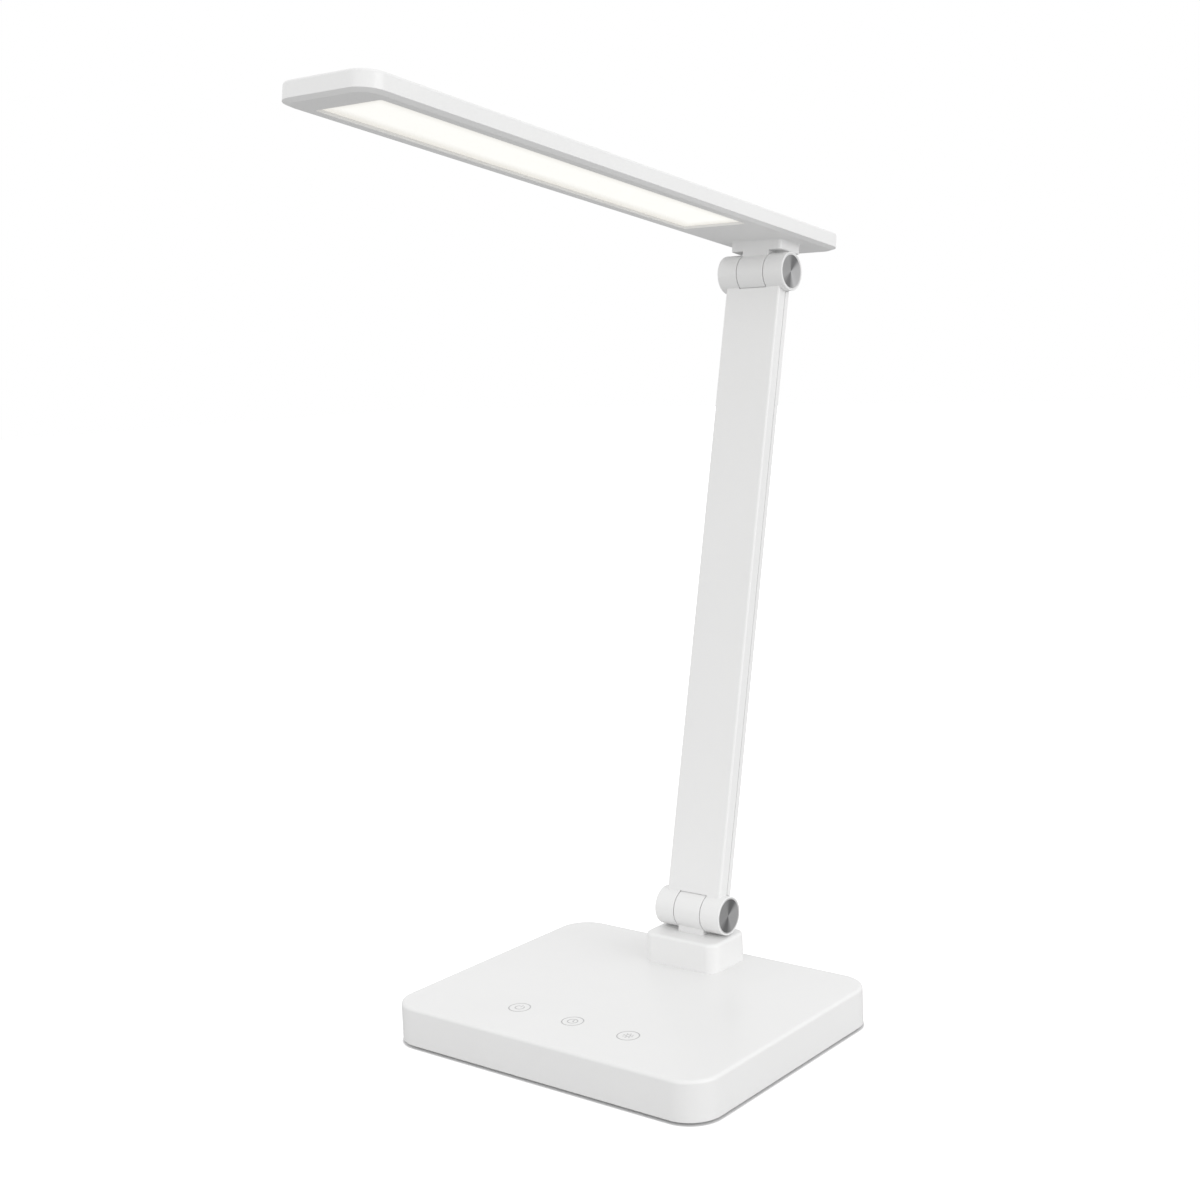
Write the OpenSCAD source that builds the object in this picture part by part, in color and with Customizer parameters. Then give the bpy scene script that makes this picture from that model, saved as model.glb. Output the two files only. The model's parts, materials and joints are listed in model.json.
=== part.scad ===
// Folding desk lamp: weighted base with a touch row, one flat arm and a slim light bar.
// Millimetres. +Z is up, -Y is the front. The origin is the middle of the footprint, on the table.
// Two friction hinges run along X: the lower one joins base and arm, the upper one arm and head.
// Each hinge is a three-knuckle barrel on one steel pin, with disc springs under a round nut.

/* [Base housing] */
// Width of the base
base_w = 160; // [140:1:190]
// Depth of the base, front to back
base_d = 130; // [120:1:160]
// Height of the base's top face above the table
base_top = 17.6; // [17:0.1:22]
// Plan radius of the base's four corners
base_r = 14; // [10:1:24]
// Radius of the rounded edge around the top face
base_edge = 1.4; // [0.5:0.1:2.2]
// Thickness of the base's side walls
base_wall = 2.2; // [1.8:0.1:3]
// Thickness of the base's top wall
base_roof = 2.4; // [1.8:0.1:3]
// Height of the housing's lower rim above the table
rim_z = 1.2; // [1:0.1:1.6]
// Solid length at the top of each screw post
post_end = 1; // [0.6:0.1:2]

/* [Bottom cover] */
// Height of the bottom cover's inner face above the table
floor_z = 2.5; // [2.3:0.1:3.5]
// Thickness of the bottom cover's plate
cover_t = 1.3; // [1.3:0.1:1.5]
// Height of the locating lip inside the housing
lip_h = 2; // [1:0.1:3]
// Thickness of the locating lips and fences
lip_t = 1.2; // [0.8:0.1:2]
// Radius of each rubber foot
foot_r = 7; // [5:0.5:9]
// Depth of the recess that holds each foot
foot_seat = 0.6; // [0.3:0.1:0.9]
// Distance of a foot's centre from the base's side
foot_in = 15; // [14:0.5:20]
// Radius of the shallow cup under each foot
foot_cup_r = 3.2; // [2:0.1:4]
// Depth of the shallow cup under each foot
foot_cup_d = 0.3; // [0.1:0.1:0.5]
// Distance of a cover screw from the base's side
cover_screw_in = 12; // [9:0.5:13]
// Distance of a cover screw from the base's front or back
cover_screw_y_in = 27; // [25:1:32]
// Length of a cover screw inside its post
cover_screw_hold = 8; // [5:0.5:9]
// Radius of the posts that the cover screws go into
post_r = 3.2; // [2.6:0.1:4]

/* [Inside the base] */
// Thickness of the steel weight
weight_t = 5; // [3:0.5:6.5]
// Corner radius of the steel weight
weight_r = 3; // [1.5:0.5:6]
// Distance from the base's front face to the weight
weight_front = 9; // [7:1:14]
// Distance from the driver board to the weight
weight_rear_gap = 7.2; // [3:0.1:14]
// Space between the screw posts and the fence around the weight
weight_post_gap = 1.4; // [0.6:0.1:10]
// Height of the rubber pads on top of the weight
weight_pad_h = 1.2; // [0.8:0.1:1.4]
// Radius of the rubber pads on top of the weight
weight_pad_r = 5; // [3:0.5:8]
// Thickness of the circuit boards
board_t = 1.6; // [1:0.1:1.6]
// Corner radius of boards, sheets, plates and the light window
small_r = 1; // [0.4:0.1:1.2]
// Distance from a touch board screw to the board's end
touch_board_end = 4; // [3.5:0.1:8]
// Depth of the touch board
touch_board_d = 18; // [14:1:22]
// Thickness of the foam contacts between touch board and top wall
touch_foam_h = 3; // [2:0.1:3.2]
// Radius of each foam contact
touch_foam_r = 5.2; // [4:0.1:6]
// Distance between neighbouring touch keys
key_pitch = 28.3; // [24:0.1:32]
// Distance from the base's front face to the touch keys
key_front = 25.4; // [22:0.1:34]
// Width of the driver board
driver_w = 60; // [40:1:80]
// Depth of the driver board
driver_d = 26; // [20:1:27]
// Height of the posts under the driver board
driver_post_h = 0.6; // [0.4:0.1:1]
// Radius of the posts under the driver board
driver_post_r = 2.4; // [1.5:0.1:3.5]
// Distance of a driver board post from the board's edges
driver_post_in = 4; // [3.5:0.5:6]
// Space between the driver's parts, and from them to the board's edge
part_gap = 2; // [1:0.5:3]
// Side of the driver's square transformer
coil_w = 12; // [8:0.5:12]
// Height of the driver's transformer
coil_h = 6; // [4:0.5:9]
// Radius of each capacitor
can_r = 2.5; // [1.5:0.1:3]
// Height of each capacitor
can_h = 6.5; // [4:0.5:9]
// Distance between the two capacitors
can_pitch = 8; // [6.5:0.5:9]
// Width of the lead's socket
socket_w = 10; // [6:0.5:12]
// Depth of the lead's socket
socket_d = 5; // [3:0.5:5]
// Height of the lead's socket
socket_h = 5; // [3:0.5:7]

/* [Power inlet] */
// Radius of the inlet's mouth
inlet_r = 2.85; // [2.6:0.01:3.2]
// Length of the inlet's mouth
inlet_mouth = 3.2; // [2:0.1:5]
// How much wider the contact sleeve is than the mouth, on the radius
inlet_sleeve_more = 0.45; // [0.3:0.05:0.6]
// Depth of the contact sleeve behind the mouth
inlet_sleeve = 6; // [4:0.1:8]
// Radius of the inlet's centre contact
inlet_pin_r = 1.05; // [0.6:0.05:1.4]
// How far the centre contact lies behind the mouth
inlet_pin_sink = 0.4; // [0.2:0.1:1]
// Width of the inlet's body
inlet_w = 9; // [8:0.5:12]
// Height of the inlet's body
inlet_h = 8.6; // [8:0.1:9]
// Length of the inlet's body
inlet_l = 12.6; // [12:0.1:16]
// Radius of the round opening in the back wall
inlet_hole_r = 4.2; // [3.6:0.1:4.3]
// Lead-in around the round opening
inlet_chamfer = 0.5; // [0.2:0.1:0.6]

/* [Pedestal] */
// Width of the pedestal's block
ped_w = 38; // [36:0.5:48]
// Depth of the pedestal's block
ped_d = 26; // [22:0.5:30]
// Height of the block above the base
ped_h = 12.8; // [10:0.1:12.9]
// Plan radius of the block's corners
ped_r = 5; // [3:0.5:8]
// Radius of the block's rounded top edge
ped_edge = 1.4; // [0.5:0.1:2.5]
// Distance from the base's back face to the block
ped_back = 5; // [3:0.5:12]
// Thickness of the pedestal's tongue, front to back
tongue_t = 11; // [8:0.5:13]
// Half width of the key under the block
key_w = 7; // [5:0.5:9]
// Half depth of the key under the block
key_d = 4.5; // [3:0.5:6]
// Radius of the lead channel through the block
lead_bore_r = 1.8; // [1:0.1:2.5]
// Distance of the pedestal screws from the block's middle, sideways
ped_screw_x = 13.5; // [11:0.5:14]
// Distance of the pedestal screws from the block's middle, front to back
ped_screw_y = 8; // [6:0.5:8.5]
// Solid height left above the pedestal screws' holes
ped_screw_end = 2; // [1.5:0.1:4]

/* [Lower hinge axis] */
// Distance from the pedestal's back face back to front to the hinge axis
axis_in = 10.5; // [9:0.5:14]
// Height of the hinge axis above the base's top face
axis_h = 21.8; // [21.8:0.1:26]

/* [Hinge barrels] */
// Radius of each hinge barrel
barrel_r = 8.5; // [8:0.1:8.8]
// Length of each hinge barrel
barrel_l = 34; // [34:0.5:40]
// Width of the centre knuckle
knuckle_w = 13.6; // [12:0.1:15]
// Gap between neighbouring knuckles
knuckle_gap = 0.3; // [0.2:0.05:0.5]
// Space between the centre knuckle and the arm's end
arm_gap = 0.5; // [0.4:0.1:1.2]
// Radius of the hinge pin
pin_r = 3; // [2.5:0.1:3.4]
// Running clearance of the pin in its bush, on the radius
run_fit = 0.05; // [0.02:0.01:0.1]
// Clearance of pressed and screwed pieces, on the radius
press_gap = 0.02; // [0.01:0.01:0.04]
// Wall of the bush pressed into the centre knuckle
bush_wall = 1.2; // [0.8:0.1:1.6]
// Outer radius of the friction washers
washer_r = 5.5; // [5:0.1:5.8]
// Depth of the washer's seat in each knuckle
washer_seat = 0.3; // [0.2:0.05:0.5]
// Clearance around a friction washer
washer_gap = 0.3; // [0.3:0.05:0.5]
// Thickness of the web that the pin's head and nut pull on
web_t = 3; // [2.4:0.1:3.4]
// Radius of the pocket around the pin's head, springs and nut
pocket_r = 6.3; // [6.2:0.1:6.5]
// Radius of the pin's head
pin_head_r = 5; // [4.5:0.1:5.8]
// Thickness of the pin's head
pin_head_t = 2; // [1.5:0.1:3]
// Outer radius of the disc springs
spring_r = 5.6; // [5:0.1:6]
// Thickness of a disc spring's steel
spring_t = 0.5; // [0.3:0.05:0.6]
// Height of the cone of one disc spring
spring_cone = 0.35; // [0.2:0.05:0.5]
// Width of the flat land around a disc spring's mouth
spring_land = 0.4; // [0.2:0.05:0.6]
// Width across the nut's flats
nut_af = 9.4; // [9:0.1:10]
// Thickness of the nut
nut_t = 2.4; // [2:0.1:2.6]

/* [Hinge caps] */
// Radius of the metal cap discs
cap_r = 7.7; // [7:0.05:7.8]
// Clearance around a cap disc
cap_gap = 0.06; // [0.03:0.01:0.1]
// Thickness of a cap disc at its rim
cap_t = 0.9; // [0.7:0.05:1.2]
// Depth of the cap's shallow cone
cap_dish = 0.35; // [0.1:0.05:0.5]
// Width of the cap's flat rim
cap_rim = 0.35; // [0.2:0.05:0.8]
// Broken edge around a cap's face
cap_break = 0.1; // [0.05:0.05:0.2]
// How far the cap lies below the barrel's end
cap_sink = 0.15; // [0.05:0.05:0.3]

/* [Arm] */
// Distance between the two hinge axes
arm_l = 285; // [285:1:330]
// How far the arm leans back at rest, in degrees
arm_lean = 13; // [0:1:20]
// Width of the arm
arm_w = 28.2; // [26:0.1:30]
// Distance from the hinge axes to the arm's front face
arm_front = 4.4; // [4:0.1:5]
// Thickness of the arm
arm_t = 8.8; // [7.2:0.1:9]
// Distance from the arm's front face to the seam
seam_at = 5.3; // [5:0.1:5.6]
// Width of the groove at the seam
seam_w = 0.4; // [0.2:0.05:0.5]
// Depth of the groove at the seam
seam_deep = 0.6; // [0.4:0.1:0.8]
// Wall thickness of the arm's front shell
arm_wall = 1.6; // [1.2:0.1:1.8]
// Radius of the arm's rounded long edges
arm_edge = 0.9; // [0.4:0.1:1.2]
// Distance from a hinge axis to the arm's inner space
arm_plug = 15; // [13:0.5:20]
// Number of screws along the arm's back
arm_screws_n = 4; // [2:1:6]
// Distance from a hinge axis to the first arm screw
arm_screw_in = 30; // [25:1:40]
// Solid left under the hole of an arm screw, above the front wall
arm_screw_end = 0.2; // [0.1:0.1:0.6]
// Width of the steel strip inside the arm
strip_w = 20; // [14:0.5:22]
// Thickness of the steel strip
strip_t = 1.2; // [0.8:0.1:1.4]
// Space beyond each end of the steel strip
strip_end = 1; // [0.5:0.1:3]
// Width of the flat lead on the strip
lead_w = 5; // [3:0.5:5.5]
// Thickness of the flat leads
lead_t = 0.8; // [0.5:0.1:0.9]
// Space beyond each end of the flat leads
lead_end = 0.6; // [0.3:0.1:0.8]
// Space beside and over the flat lead in the arm
lead_slack = 0.1; // [0.1:0.05:0.3]

/* [Head] */
// Width of the light bar
head_w = 45.6; // [44:0.1:56]
// Reach of the light bar in front of the upper axis
head_front = 268.6; // [240:0.1:268.9]
// Reach of the light bar behind the upper axis
head_back = 33; // [30:0.5:45]
// Plan radius of the light bar's corners
head_r = 8.8; // [6:0.1:12]
// Thickness of the light bar
head_t = 7.3; // [7.1:0.1:7.3]
// Radius of the rounded edge around the top
head_edge = 1.1; // [0.4:0.1:1.4]
// Height of the sloping band around the underside
band_h = 1; // [0.8:0.1:1.3]
// Width of the sloping band around the underside
band_w = 2.6; // [2:0.1:3.2]
// Wall thickness of the head's shell
head_wall = 1.6; // [1.2:0.1:1.8]
// Distance from the upper axis to the head's underside
head_drop = 14.1; // [13.6:0.1:14.1]
// How far the head's front end is raised at rest, in degrees
head_tilt_deg = 9; // [0:1:12]
// Thickness of the bezel's plate
bezel_t = 1.6; // [1.4:0.1:2]

/* [Light] */
// Width of the visible light window
window_w = 31.8; // [26:0.1:32.4]
// Distance from the head's front end to the window
window_front = 13.7; // [10:0.1:30]
// Distance from the upper axis to the window
window_back = 37; // [30:0.5:60]
// Thickness of the bezel's ledge, which is how deep the diffuser lies in the window
ledge_t = 1.2; // [1:0.1:1.3]
// Thickness of the diffuser
diffuser_t = 1.2; // [1:0.1:1.4]
// Width of the diffuser's hidden border on the ledge
flange_w = 1.2; // [0.8:0.1:1.6]
// Thickness of the light guide
guide_t = 1.8; // [1.6:0.1:1.8]
// Thickness of the reflector sheet
sheet_t = 0.2; // [0.1:0.05:0.3]
// Thickness of the aluminium back plate
plate_t = 1; // [0.8:0.1:1]
// Number of emitters on each side
led_n = 24; // [8:1:30]
// Length of one emitter
led_l = 3; // [2:0.1:4]
// Depth of one emitter
led_d = 1; // [0.6:0.1:1.1]
// Height of one emitter
led_h = 1.5; // [1:0.1:1.6]
// Space between the light guide and the emitters
led_gap = 0.05; // [0.02:0.01:0.2]
// Distance from the light guide's ends to the row of emitters
led_margin = 4; // [2:0.5:8]
// Thickness of the emitters' boards
led_board_t = 1; // [0.6:0.1:1.2]
// How far the back plate passes the light guide at each end
plate_over = 2; // [1:0.5:3]

/* [Head bracket] */
// Width of the bracket's block
brk_w = 26.6; // [24:0.1:30]
// Reach of the block in front of the upper axis
brk_front = 4.5; // [4:0.1:6]
// Reach of the block behind the upper axis
brk_back = 12; // [10:0.5:14]
// Height of the block under the head
brk_h = 4.6; // [3.6:0.1:4.8]
// Radius of the block's upright corners
brk_r = 1.6; // [0.8:0.1:2.4]
// Thickness of the steel anchor plate inside the head
anchor_t = 1.5; // [1:0.1:1.6]
// Width of the steel anchor plate
anchor_w = 34; // [30:1:37]
// Length of the steel anchor plate
anchor_l = 28; // [24:1:34]
// Distance of the bracket screws from the middle, sideways
brk_screw_x = 9.8; // [9:0.1:10]
// Place of the rear bracket screws behind the axis
brk_screw_y = 8.2; // [7.5:0.1:8.4]
// Solid height left at the end of the bracket screws' holes
brk_screw_end = 0.9; // [0.6:0.1:1.2]

/* [Screws] */
// Radius of a small screw's thread
screw_r = 1.25; // [1:0.05:1.5]
// Radius of a small screw's head
screw_head_r = 2.3; // [2:0.1:2.5]
// Height of a small screw's head
screw_head_h = 1.3; // [1:0.1:1.4]
// Clearance around a screw in a plain hole
screw_gap = 0.2; // [0.1:0.05:0.4]
// Free length of a screw hole beyond the screw's end
thread_gap = 0.3; // [0.1:0.1:0.5]
// Wall of the bosses around the arm's screws
boss_wall = 1.4; // [1:0.1:1.8]
// Width of the slots of a screw's cross recess
recess_w = 0.6; // [0.4:0.1:0.8]
// Half length of the slots of a screw's cross recess
recess_reach = 1.4; // [0.8:0.1:1.6]
// Depth of a screw's cross recess
recess_d = 0.6; // [0.3:0.1:0.8]
// Clearance between pieces that slide together at assembly
slip = 0.2; // [0.1:0.05:0.3]

/* [Hidden] */
$fn = 96;
eps = 0.01;
cut = 1;
least_r = 0.3;

white = [0.93, 0.93, 0.92];
metal = [0.66, 0.66, 0.67];
steel = [0.55, 0.56, 0.58];
brass = [0.78, 0.64, 0.36];
dark = [0.25, 0.25, 0.26];
board_green = [0.12, 0.36, 0.22];

// Base levels and places
roof_z = base_top - base_roof;
cover_z = floor_z - cover_t;
cover_w = base_w - 2*(base_wall + slip);
cover_d = base_d - 2*(base_wall + slip);
cover_r = base_r - base_wall - slip;
post_x = base_w/2 - cover_screw_in;
post_y = base_d/2 - cover_screw_y_in;
foot_x = base_w/2 - foot_in;
foot_y = base_d/2 - foot_in;
weight_top = floor_z + weight_t;
key_y = -base_d/2 + key_front;
touch_z = roof_z - touch_foam_h - board_t;
touch_screw_x = key_pitch + touch_foam_r + post_r + 3*slip;
touch_board_w = 2*(touch_screw_x + touch_board_end);
inlet_face_y = base_d/2 - base_wall - slip;
inlet_seat_z = floor_z + driver_post_h + board_t;
inlet_z = inlet_seat_z + inlet_h/2;
driver_y = base_d/2 - base_wall - lip_t - 2*slip - driver_d/2;
weight_w = 2*(post_x - post_r - weight_post_gap - lip_t - slip);
weight_d = base_d/2 + driver_y - driver_d/2 - weight_rear_gap - weight_front;
weight_y = -base_d/2 + weight_front + weight_d/2;
weight_pad_x = weight_w/4;
weight_pad_y = weight_d/4;

// Pedestal and lower axis
ped_y = base_d/2 - ped_back - ped_d/2;
axis_y = base_d/2 - ped_back - axis_in;
axis_z = base_top + axis_h;

// Hinge, measured along X from the middle of the barrel
knuckle_x = knuckle_w/2;
ear_x = knuckle_x + knuckle_gap;
barrel_x = barrel_l/2;
web_x = ear_x + web_t;
bush_r = pin_r + run_fit + bush_wall;
bush_l = knuckle_w - 2*washer_seat;
washer_t = knuckle_gap + 2*washer_seat;
washer_x = knuckle_x - washer_seat;
cap_seat_x = barrel_x - cap_sink - cap_t;
spring_h = spring_t + spring_cone;
nut_x = web_x + 2*spring_h + press_gap;
pin_end_x = nut_x + nut_t;
nut_r = nut_af/2/cos(30);

// Arm, in its own frame: lower axis at the origin, +Z along the arm, -Y in front
seam_y = -arm_front + seam_at;
arm_back_y = -arm_front + arm_t;
arm_in_y = -arm_front + arm_wall;
cavity_w = arm_w - 2*arm_wall;
tray_y = arm_in_y + strip_t + lead_t + lead_slack;
arm_screw_step = (arm_l - 2*arm_screw_in)/(arm_screws_n - 1);
boss_r = screw_r + boss_wall;

// Head, in its own frame: upper axis at the origin, -Y in front; its levels count from the underside
head_l = head_front + head_back;
head_mid_y = (head_back - head_front)/2;
window_l = head_front - window_front - window_back;
window_y = -(window_back + window_l/2);
guide_z = ledge_t + diffuser_t;
sheet_z = guide_z + guide_t;
plate_z = sheet_z + sheet_t;
shell_roof_z = head_t - head_wall;
guide_w = window_w + 2*flange_w;
guide_l = window_l + 2*flange_w;
led_x = guide_w/2 + led_gap;
led_board_x = led_x + led_d;
led_pitch = (guide_l - 2*led_margin)/led_n;
brk_y = (brk_back - brk_front)/2;
brk_d = brk_back + brk_front;
brk_screw_depth = brk_h - brk_screw_end;

// ---------- shared shapes ----------

// Flat outline with true corner arcs
module plan(w, d, r) {
    square([w - 2*r, d], center = true);
    square([w, d - 2*r], center = true);
    for (x = [-1, 1], y = [-1, 1])
        translate([x*(w/2 - r), y*(d/2 - r)]) circle(r);
}

// Plate with upright walls
module slab(w, d, h, r) {
    linear_extrude(h) plan(w, d, r);
}

// Body whose rim, drawn as a flat child from its corner axis outwards, runs round the plan
module rimmed(w, d, h, r) {
    translate([-(w/2 - r), -(d/2 - r), 0]) cube([w - 2*r, d - 2*r, h]);
    for (turn = [0, 1], flip = [0, 180]) {
        across = turn == 0 ? w : d;
        along = turn == 0 ? d : w;
        rotate([0, 0, 90*turn + flip]) {
            translate([across/2 - r, along/2 - r, 0]) rotate([90, 0, 0])
                linear_extrude(along - 2*r) children();
            translate([across/2 - r, along/2 - r, 0])
                rotate_extrude(angle = 90) children();
        }
    }
}

// Rim with a rounded upper edge
module rim_round(r, h, e) {
    difference() {
        square([r, h]);
        translate([r - e, h - e]) difference() {
            square(e + cut);
            circle(e);
        }
    }
}

// Rim whose lower edge slopes inwards
module rim_slope(r, h, run, rise) {
    polygon([[0, 0], [r - run, 0], [r, rise], [r, h], [0, h]]);
}

// Ring wall that follows a rounded outline
module fence(w, d, h, r, t) {
    linear_extrude(h) difference() {
        plan(w, d, r);
        plan(w - 2*t, d - 2*t, max(r - t, least_r));
    }
}

// Cylinder along X from x0 to x1
module bar_x(r, x0, x1) {
    translate([x0, 0, 0]) rotate([0, 90, 0]) cylinder(r = r, h = x1 - x0);
}

// Cylinder along Y from y0 to y1
module bar_y(r, y0, y1) {
    translate([0, y0, 0]) rotate([-90, 0, 0]) cylinder(r = r, h = y1 - y0);
}

// Cross recess for a screwdriver, its floor on z = 0
module cross_recess() {
    for (a = [0, 90]) rotate([0, 0, a])
        translate([-recess_reach, -recess_w/2, 0])
            cube([2*recess_reach, recess_w, recess_d + cut]);
}

// Screw whose head rests on z = 0 and whose thread points down
module screw(length) {
    difference() {
        union() {
            cylinder(r = screw_head_r, h = screw_head_h);
            translate([0, 0, -length]) cylinder(r = screw_r, h = length + eps);
        }
        translate([0, 0, screw_head_h - recess_d]) cross_recess();
    }
}

// Countersunk screw, head face on z = 0, thread pointing down
module flat_screw(length) {
    sink = screw_head_r - screw_r;
    difference() {
        union() {
            translate([0, 0, -sink]) cylinder(r1 = screw_r, r2 = screw_head_r, h = sink);
            translate([0, 0, -length]) cylinder(r = screw_r, h = length - sink + eps);
        }
        translate([0, 0, -recess_d]) cross_recess();
    }
}

// Hole for a countersunk screw, head face on z = 0
module flat_screw_hole(length) {
    sink = screw_head_r - screw_r;
    translate([0, 0, -sink - press_gap])
        cylinder(r1 = screw_r + press_gap, r2 = screw_head_r + press_gap, h = sink + press_gap);
    cylinder(r = screw_head_r + press_gap, h = cut);
    translate([0, 0, -length]) cylinder(r = screw_r + screw_gap, h = length);
}

// ---------- frames ----------

module at_lower_axis() {
    translate([0, axis_y, axis_z]) children();
}

module on_arm() {
    at_lower_axis() rotate([-arm_lean, 0, 0]) children();
}

module at_upper_axis() {
    on_arm() translate([0, 0, arm_l]) rotate([arm_lean, 0, 0]) children();
}

// Axes of the head: the upper axis at the origin
module on_head() {
    at_upper_axis() rotate([-head_tilt_deg, 0, 0]) children();
}

// Levels of the head: z = 0 on its underside
module in_head() {
    on_head() translate([0, 0, head_drop]) children();
}

module each_post() {
    for (x = [-post_x, post_x], y = [-post_y, post_y]) translate([x, y, 0]) children();
}

module each_foot() {
    for (x = [-foot_x, foot_x], y = [-foot_y, foot_y]) translate([x, y, 0]) children();
}

module each_ped_screw() {
    for (x = [-ped_screw_x, ped_screw_x], y = [-ped_screw_y, ped_screw_y])
        translate([x, ped_y + y, 0]) children();
}

module each_arm_screw() {
    for (i = [0 : arm_screws_n - 1]) translate([0, 0, arm_screw_in + i*arm_screw_step]) children();
}

module each_brk_screw() {
    for (x = [-brk_screw_x, brk_screw_x], y = [0, brk_screw_y]) translate([x, y, 0]) children();
}

module each_touch_screw() {
    for (x = [-touch_screw_x, touch_screw_x]) translate([x, key_y, 0]) children();
}

// ---------- base ----------

module base_housing() color(white) difference() {
    union() {
        difference() {
            translate([0, 0, rim_z])
                rimmed(base_w, base_d, base_top - rim_z, base_r)
                    rim_round(base_r, base_top - rim_z, base_edge);
            translate([0, 0, rim_z - cut])
                slab(base_w - 2*base_wall, base_d - 2*base_wall, roof_z - rim_z + cut, base_r - base_wall);
        }
        each_post() translate([0, 0, floor_z]) cylinder(r = post_r, h = roof_z - floor_z + eps);
        each_touch_screw() translate([0, 0, roof_z - touch_foam_h])
            cylinder(r = post_r, h = touch_foam_h + eps);
        // stiffening ribs between the weight's pads and the touch row
        for (x = [-weight_pad_x, weight_pad_x])
            translate([x - lip_t/2, key_y + touch_board_d/2 + slip, weight_top + weight_pad_h + slip])
                cube([lip_t, ped_y - ped_d/2 - key_y - touch_board_d/2 - slip,
                    roof_z - weight_top - weight_pad_h - slip + eps]);
    }
    each_post() translate([0, 0, floor_z - cut])
        cylinder(r = screw_r + press_gap, h = roof_z - floor_z - post_end + cut);
    each_touch_screw() translate([0, 0, roof_z - touch_foam_h - cut])
        cylinder(r = screw_r + press_gap, h = touch_foam_h + cut);
    // seat of the pedestal: its key and its four screws
    translate([-key_w - slip, ped_y - key_d - slip, roof_z - cut])
        cube([2*(key_w + slip), 2*(key_d + slip), base_roof + 2*cut]);
    each_ped_screw() translate([0, 0, roof_z - cut])
        cylinder(r = screw_r + screw_gap, h = base_roof + 2*cut);
    // round opening for the power plug, with a shallow lead-in
    translate([0, base_d/2, inlet_z]) {
        bar_y(inlet_hole_r, -base_wall - cut, cut);
        rotate([-90, 0, 0]) translate([0, 0, -inlet_chamfer])
            cylinder(r1 = inlet_hole_r, r2 = inlet_hole_r + inlet_chamfer, h = inlet_chamfer + eps);
    }
}

// Plate that lies inside the housing's wall
module bottom_cover() color(dark) difference() {
    union() {
        translate([0, 0, cover_z]) slab(cover_w, cover_d, cover_t, cover_r);
        // locating lip, left open behind the inlet
        difference() {
            translate([0, 0, floor_z - eps]) fence(cover_w, cover_d, lip_h + eps, cover_r, lip_t);
            translate([-driver_w/2, cover_d/2 - lip_t - cut, floor_z])
                cube([driver_w, lip_t + 2*cut, lip_h + cut]);
        }
        // fence that keeps the weight in place
        translate([0, weight_y, floor_z - eps])
            fence(weight_w + 2*(slip + lip_t), weight_d + 2*(slip + lip_t), lip_h + eps,
                weight_r, lip_t);
        for (x = [-1, 1], y = [-1, 1])
            translate([x*(driver_w/2 - driver_post_in), driver_y + y*(driver_d/2 - driver_post_in),
                floor_z - eps]) cylinder(r = driver_post_r, h = driver_post_h + eps);
    }
    each_foot() translate([0, 0, cover_z - cut]) cylinder(r = foot_r + press_gap, h = foot_seat + cut);
    each_post() translate([0, 0, cover_z]) rotate([180, 0, 0]) flat_screw_hole(cover_t + cut);
}

module foot_pads() color(dark) each_foot() difference() {
    cylinder(r = foot_r, h = cover_z + foot_seat);
    translate([0, 0, -cut]) cylinder(r = foot_cup_r, h = cut + foot_cup_d);
}

module cover_screws() color(steel) each_post() translate([0, 0, cover_z])
    rotate([180, 0, 0]) flat_screw(cover_t + cover_screw_hold);

module counterweight() color(steel) translate([0, weight_y, floor_z])
    slab(weight_w, weight_d, weight_t, weight_r);

module weight_pads() color(dark) for (x = [-weight_pad_x, weight_pad_x], y = [-weight_pad_y, weight_pad_y])
    translate([x, weight_y + y, weight_top]) cylinder(r = weight_pad_r, h = weight_pad_h);

module touch_board() color(board_green) difference() {
    translate([0, key_y, touch_z]) slab(touch_board_w, touch_board_d, board_t, small_r);
    each_touch_screw() translate([0, 0, touch_z - cut])
        cylinder(r = screw_r + screw_gap, h = board_t + 2*cut);
}

module touch_contacts() color(dark) for (i = [-1 : 1])
    translate([i*key_pitch, key_y, touch_z + board_t]) cylinder(r = touch_foam_r, h = touch_foam_h);

module board_screws() color(steel) each_touch_screw() translate([0, 0, touch_z])
    rotate([180, 0, 0]) screw(board_t + touch_foam_h - thread_gap);

module driver_board() color(board_green)
    translate([0, driver_y, floor_z + driver_post_h]) slab(driver_w, driver_d, board_t, small_r);

// Transformer on one side of the inlet, two capacitors and the lead's socket on the other
module driver_parts() color(dark) translate([0, driver_y, inlet_seat_z]) {
    side_x = inlet_w/2 + part_gap;
    translate([-side_x - coil_w, -coil_w/2, 0]) cube([coil_w, coil_w, coil_h]);
    for (i = [0, 1]) translate([side_x + can_r + i*can_pitch, 0, 0]) cylinder(r = can_r, h = can_h);
    translate([side_x, -driver_d/2 + part_gap, 0]) cube([socket_w, socket_d, socket_h]);
}

module power_inlet() color(dark) translate([0, inlet_face_y, inlet_z]) difference() {
    translate([-inlet_w/2, -inlet_l, -inlet_h/2]) cube([inlet_w, inlet_l, inlet_h]);
    bar_y(inlet_r, -inlet_mouth, cut);
    difference() {
        bar_y(inlet_r + inlet_sleeve_more, -inlet_mouth - inlet_sleeve, -inlet_mouth);
        bar_y(inlet_pin_r, -inlet_mouth - inlet_sleeve - cut, -inlet_mouth - inlet_pin_sink);
    }
}

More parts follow.
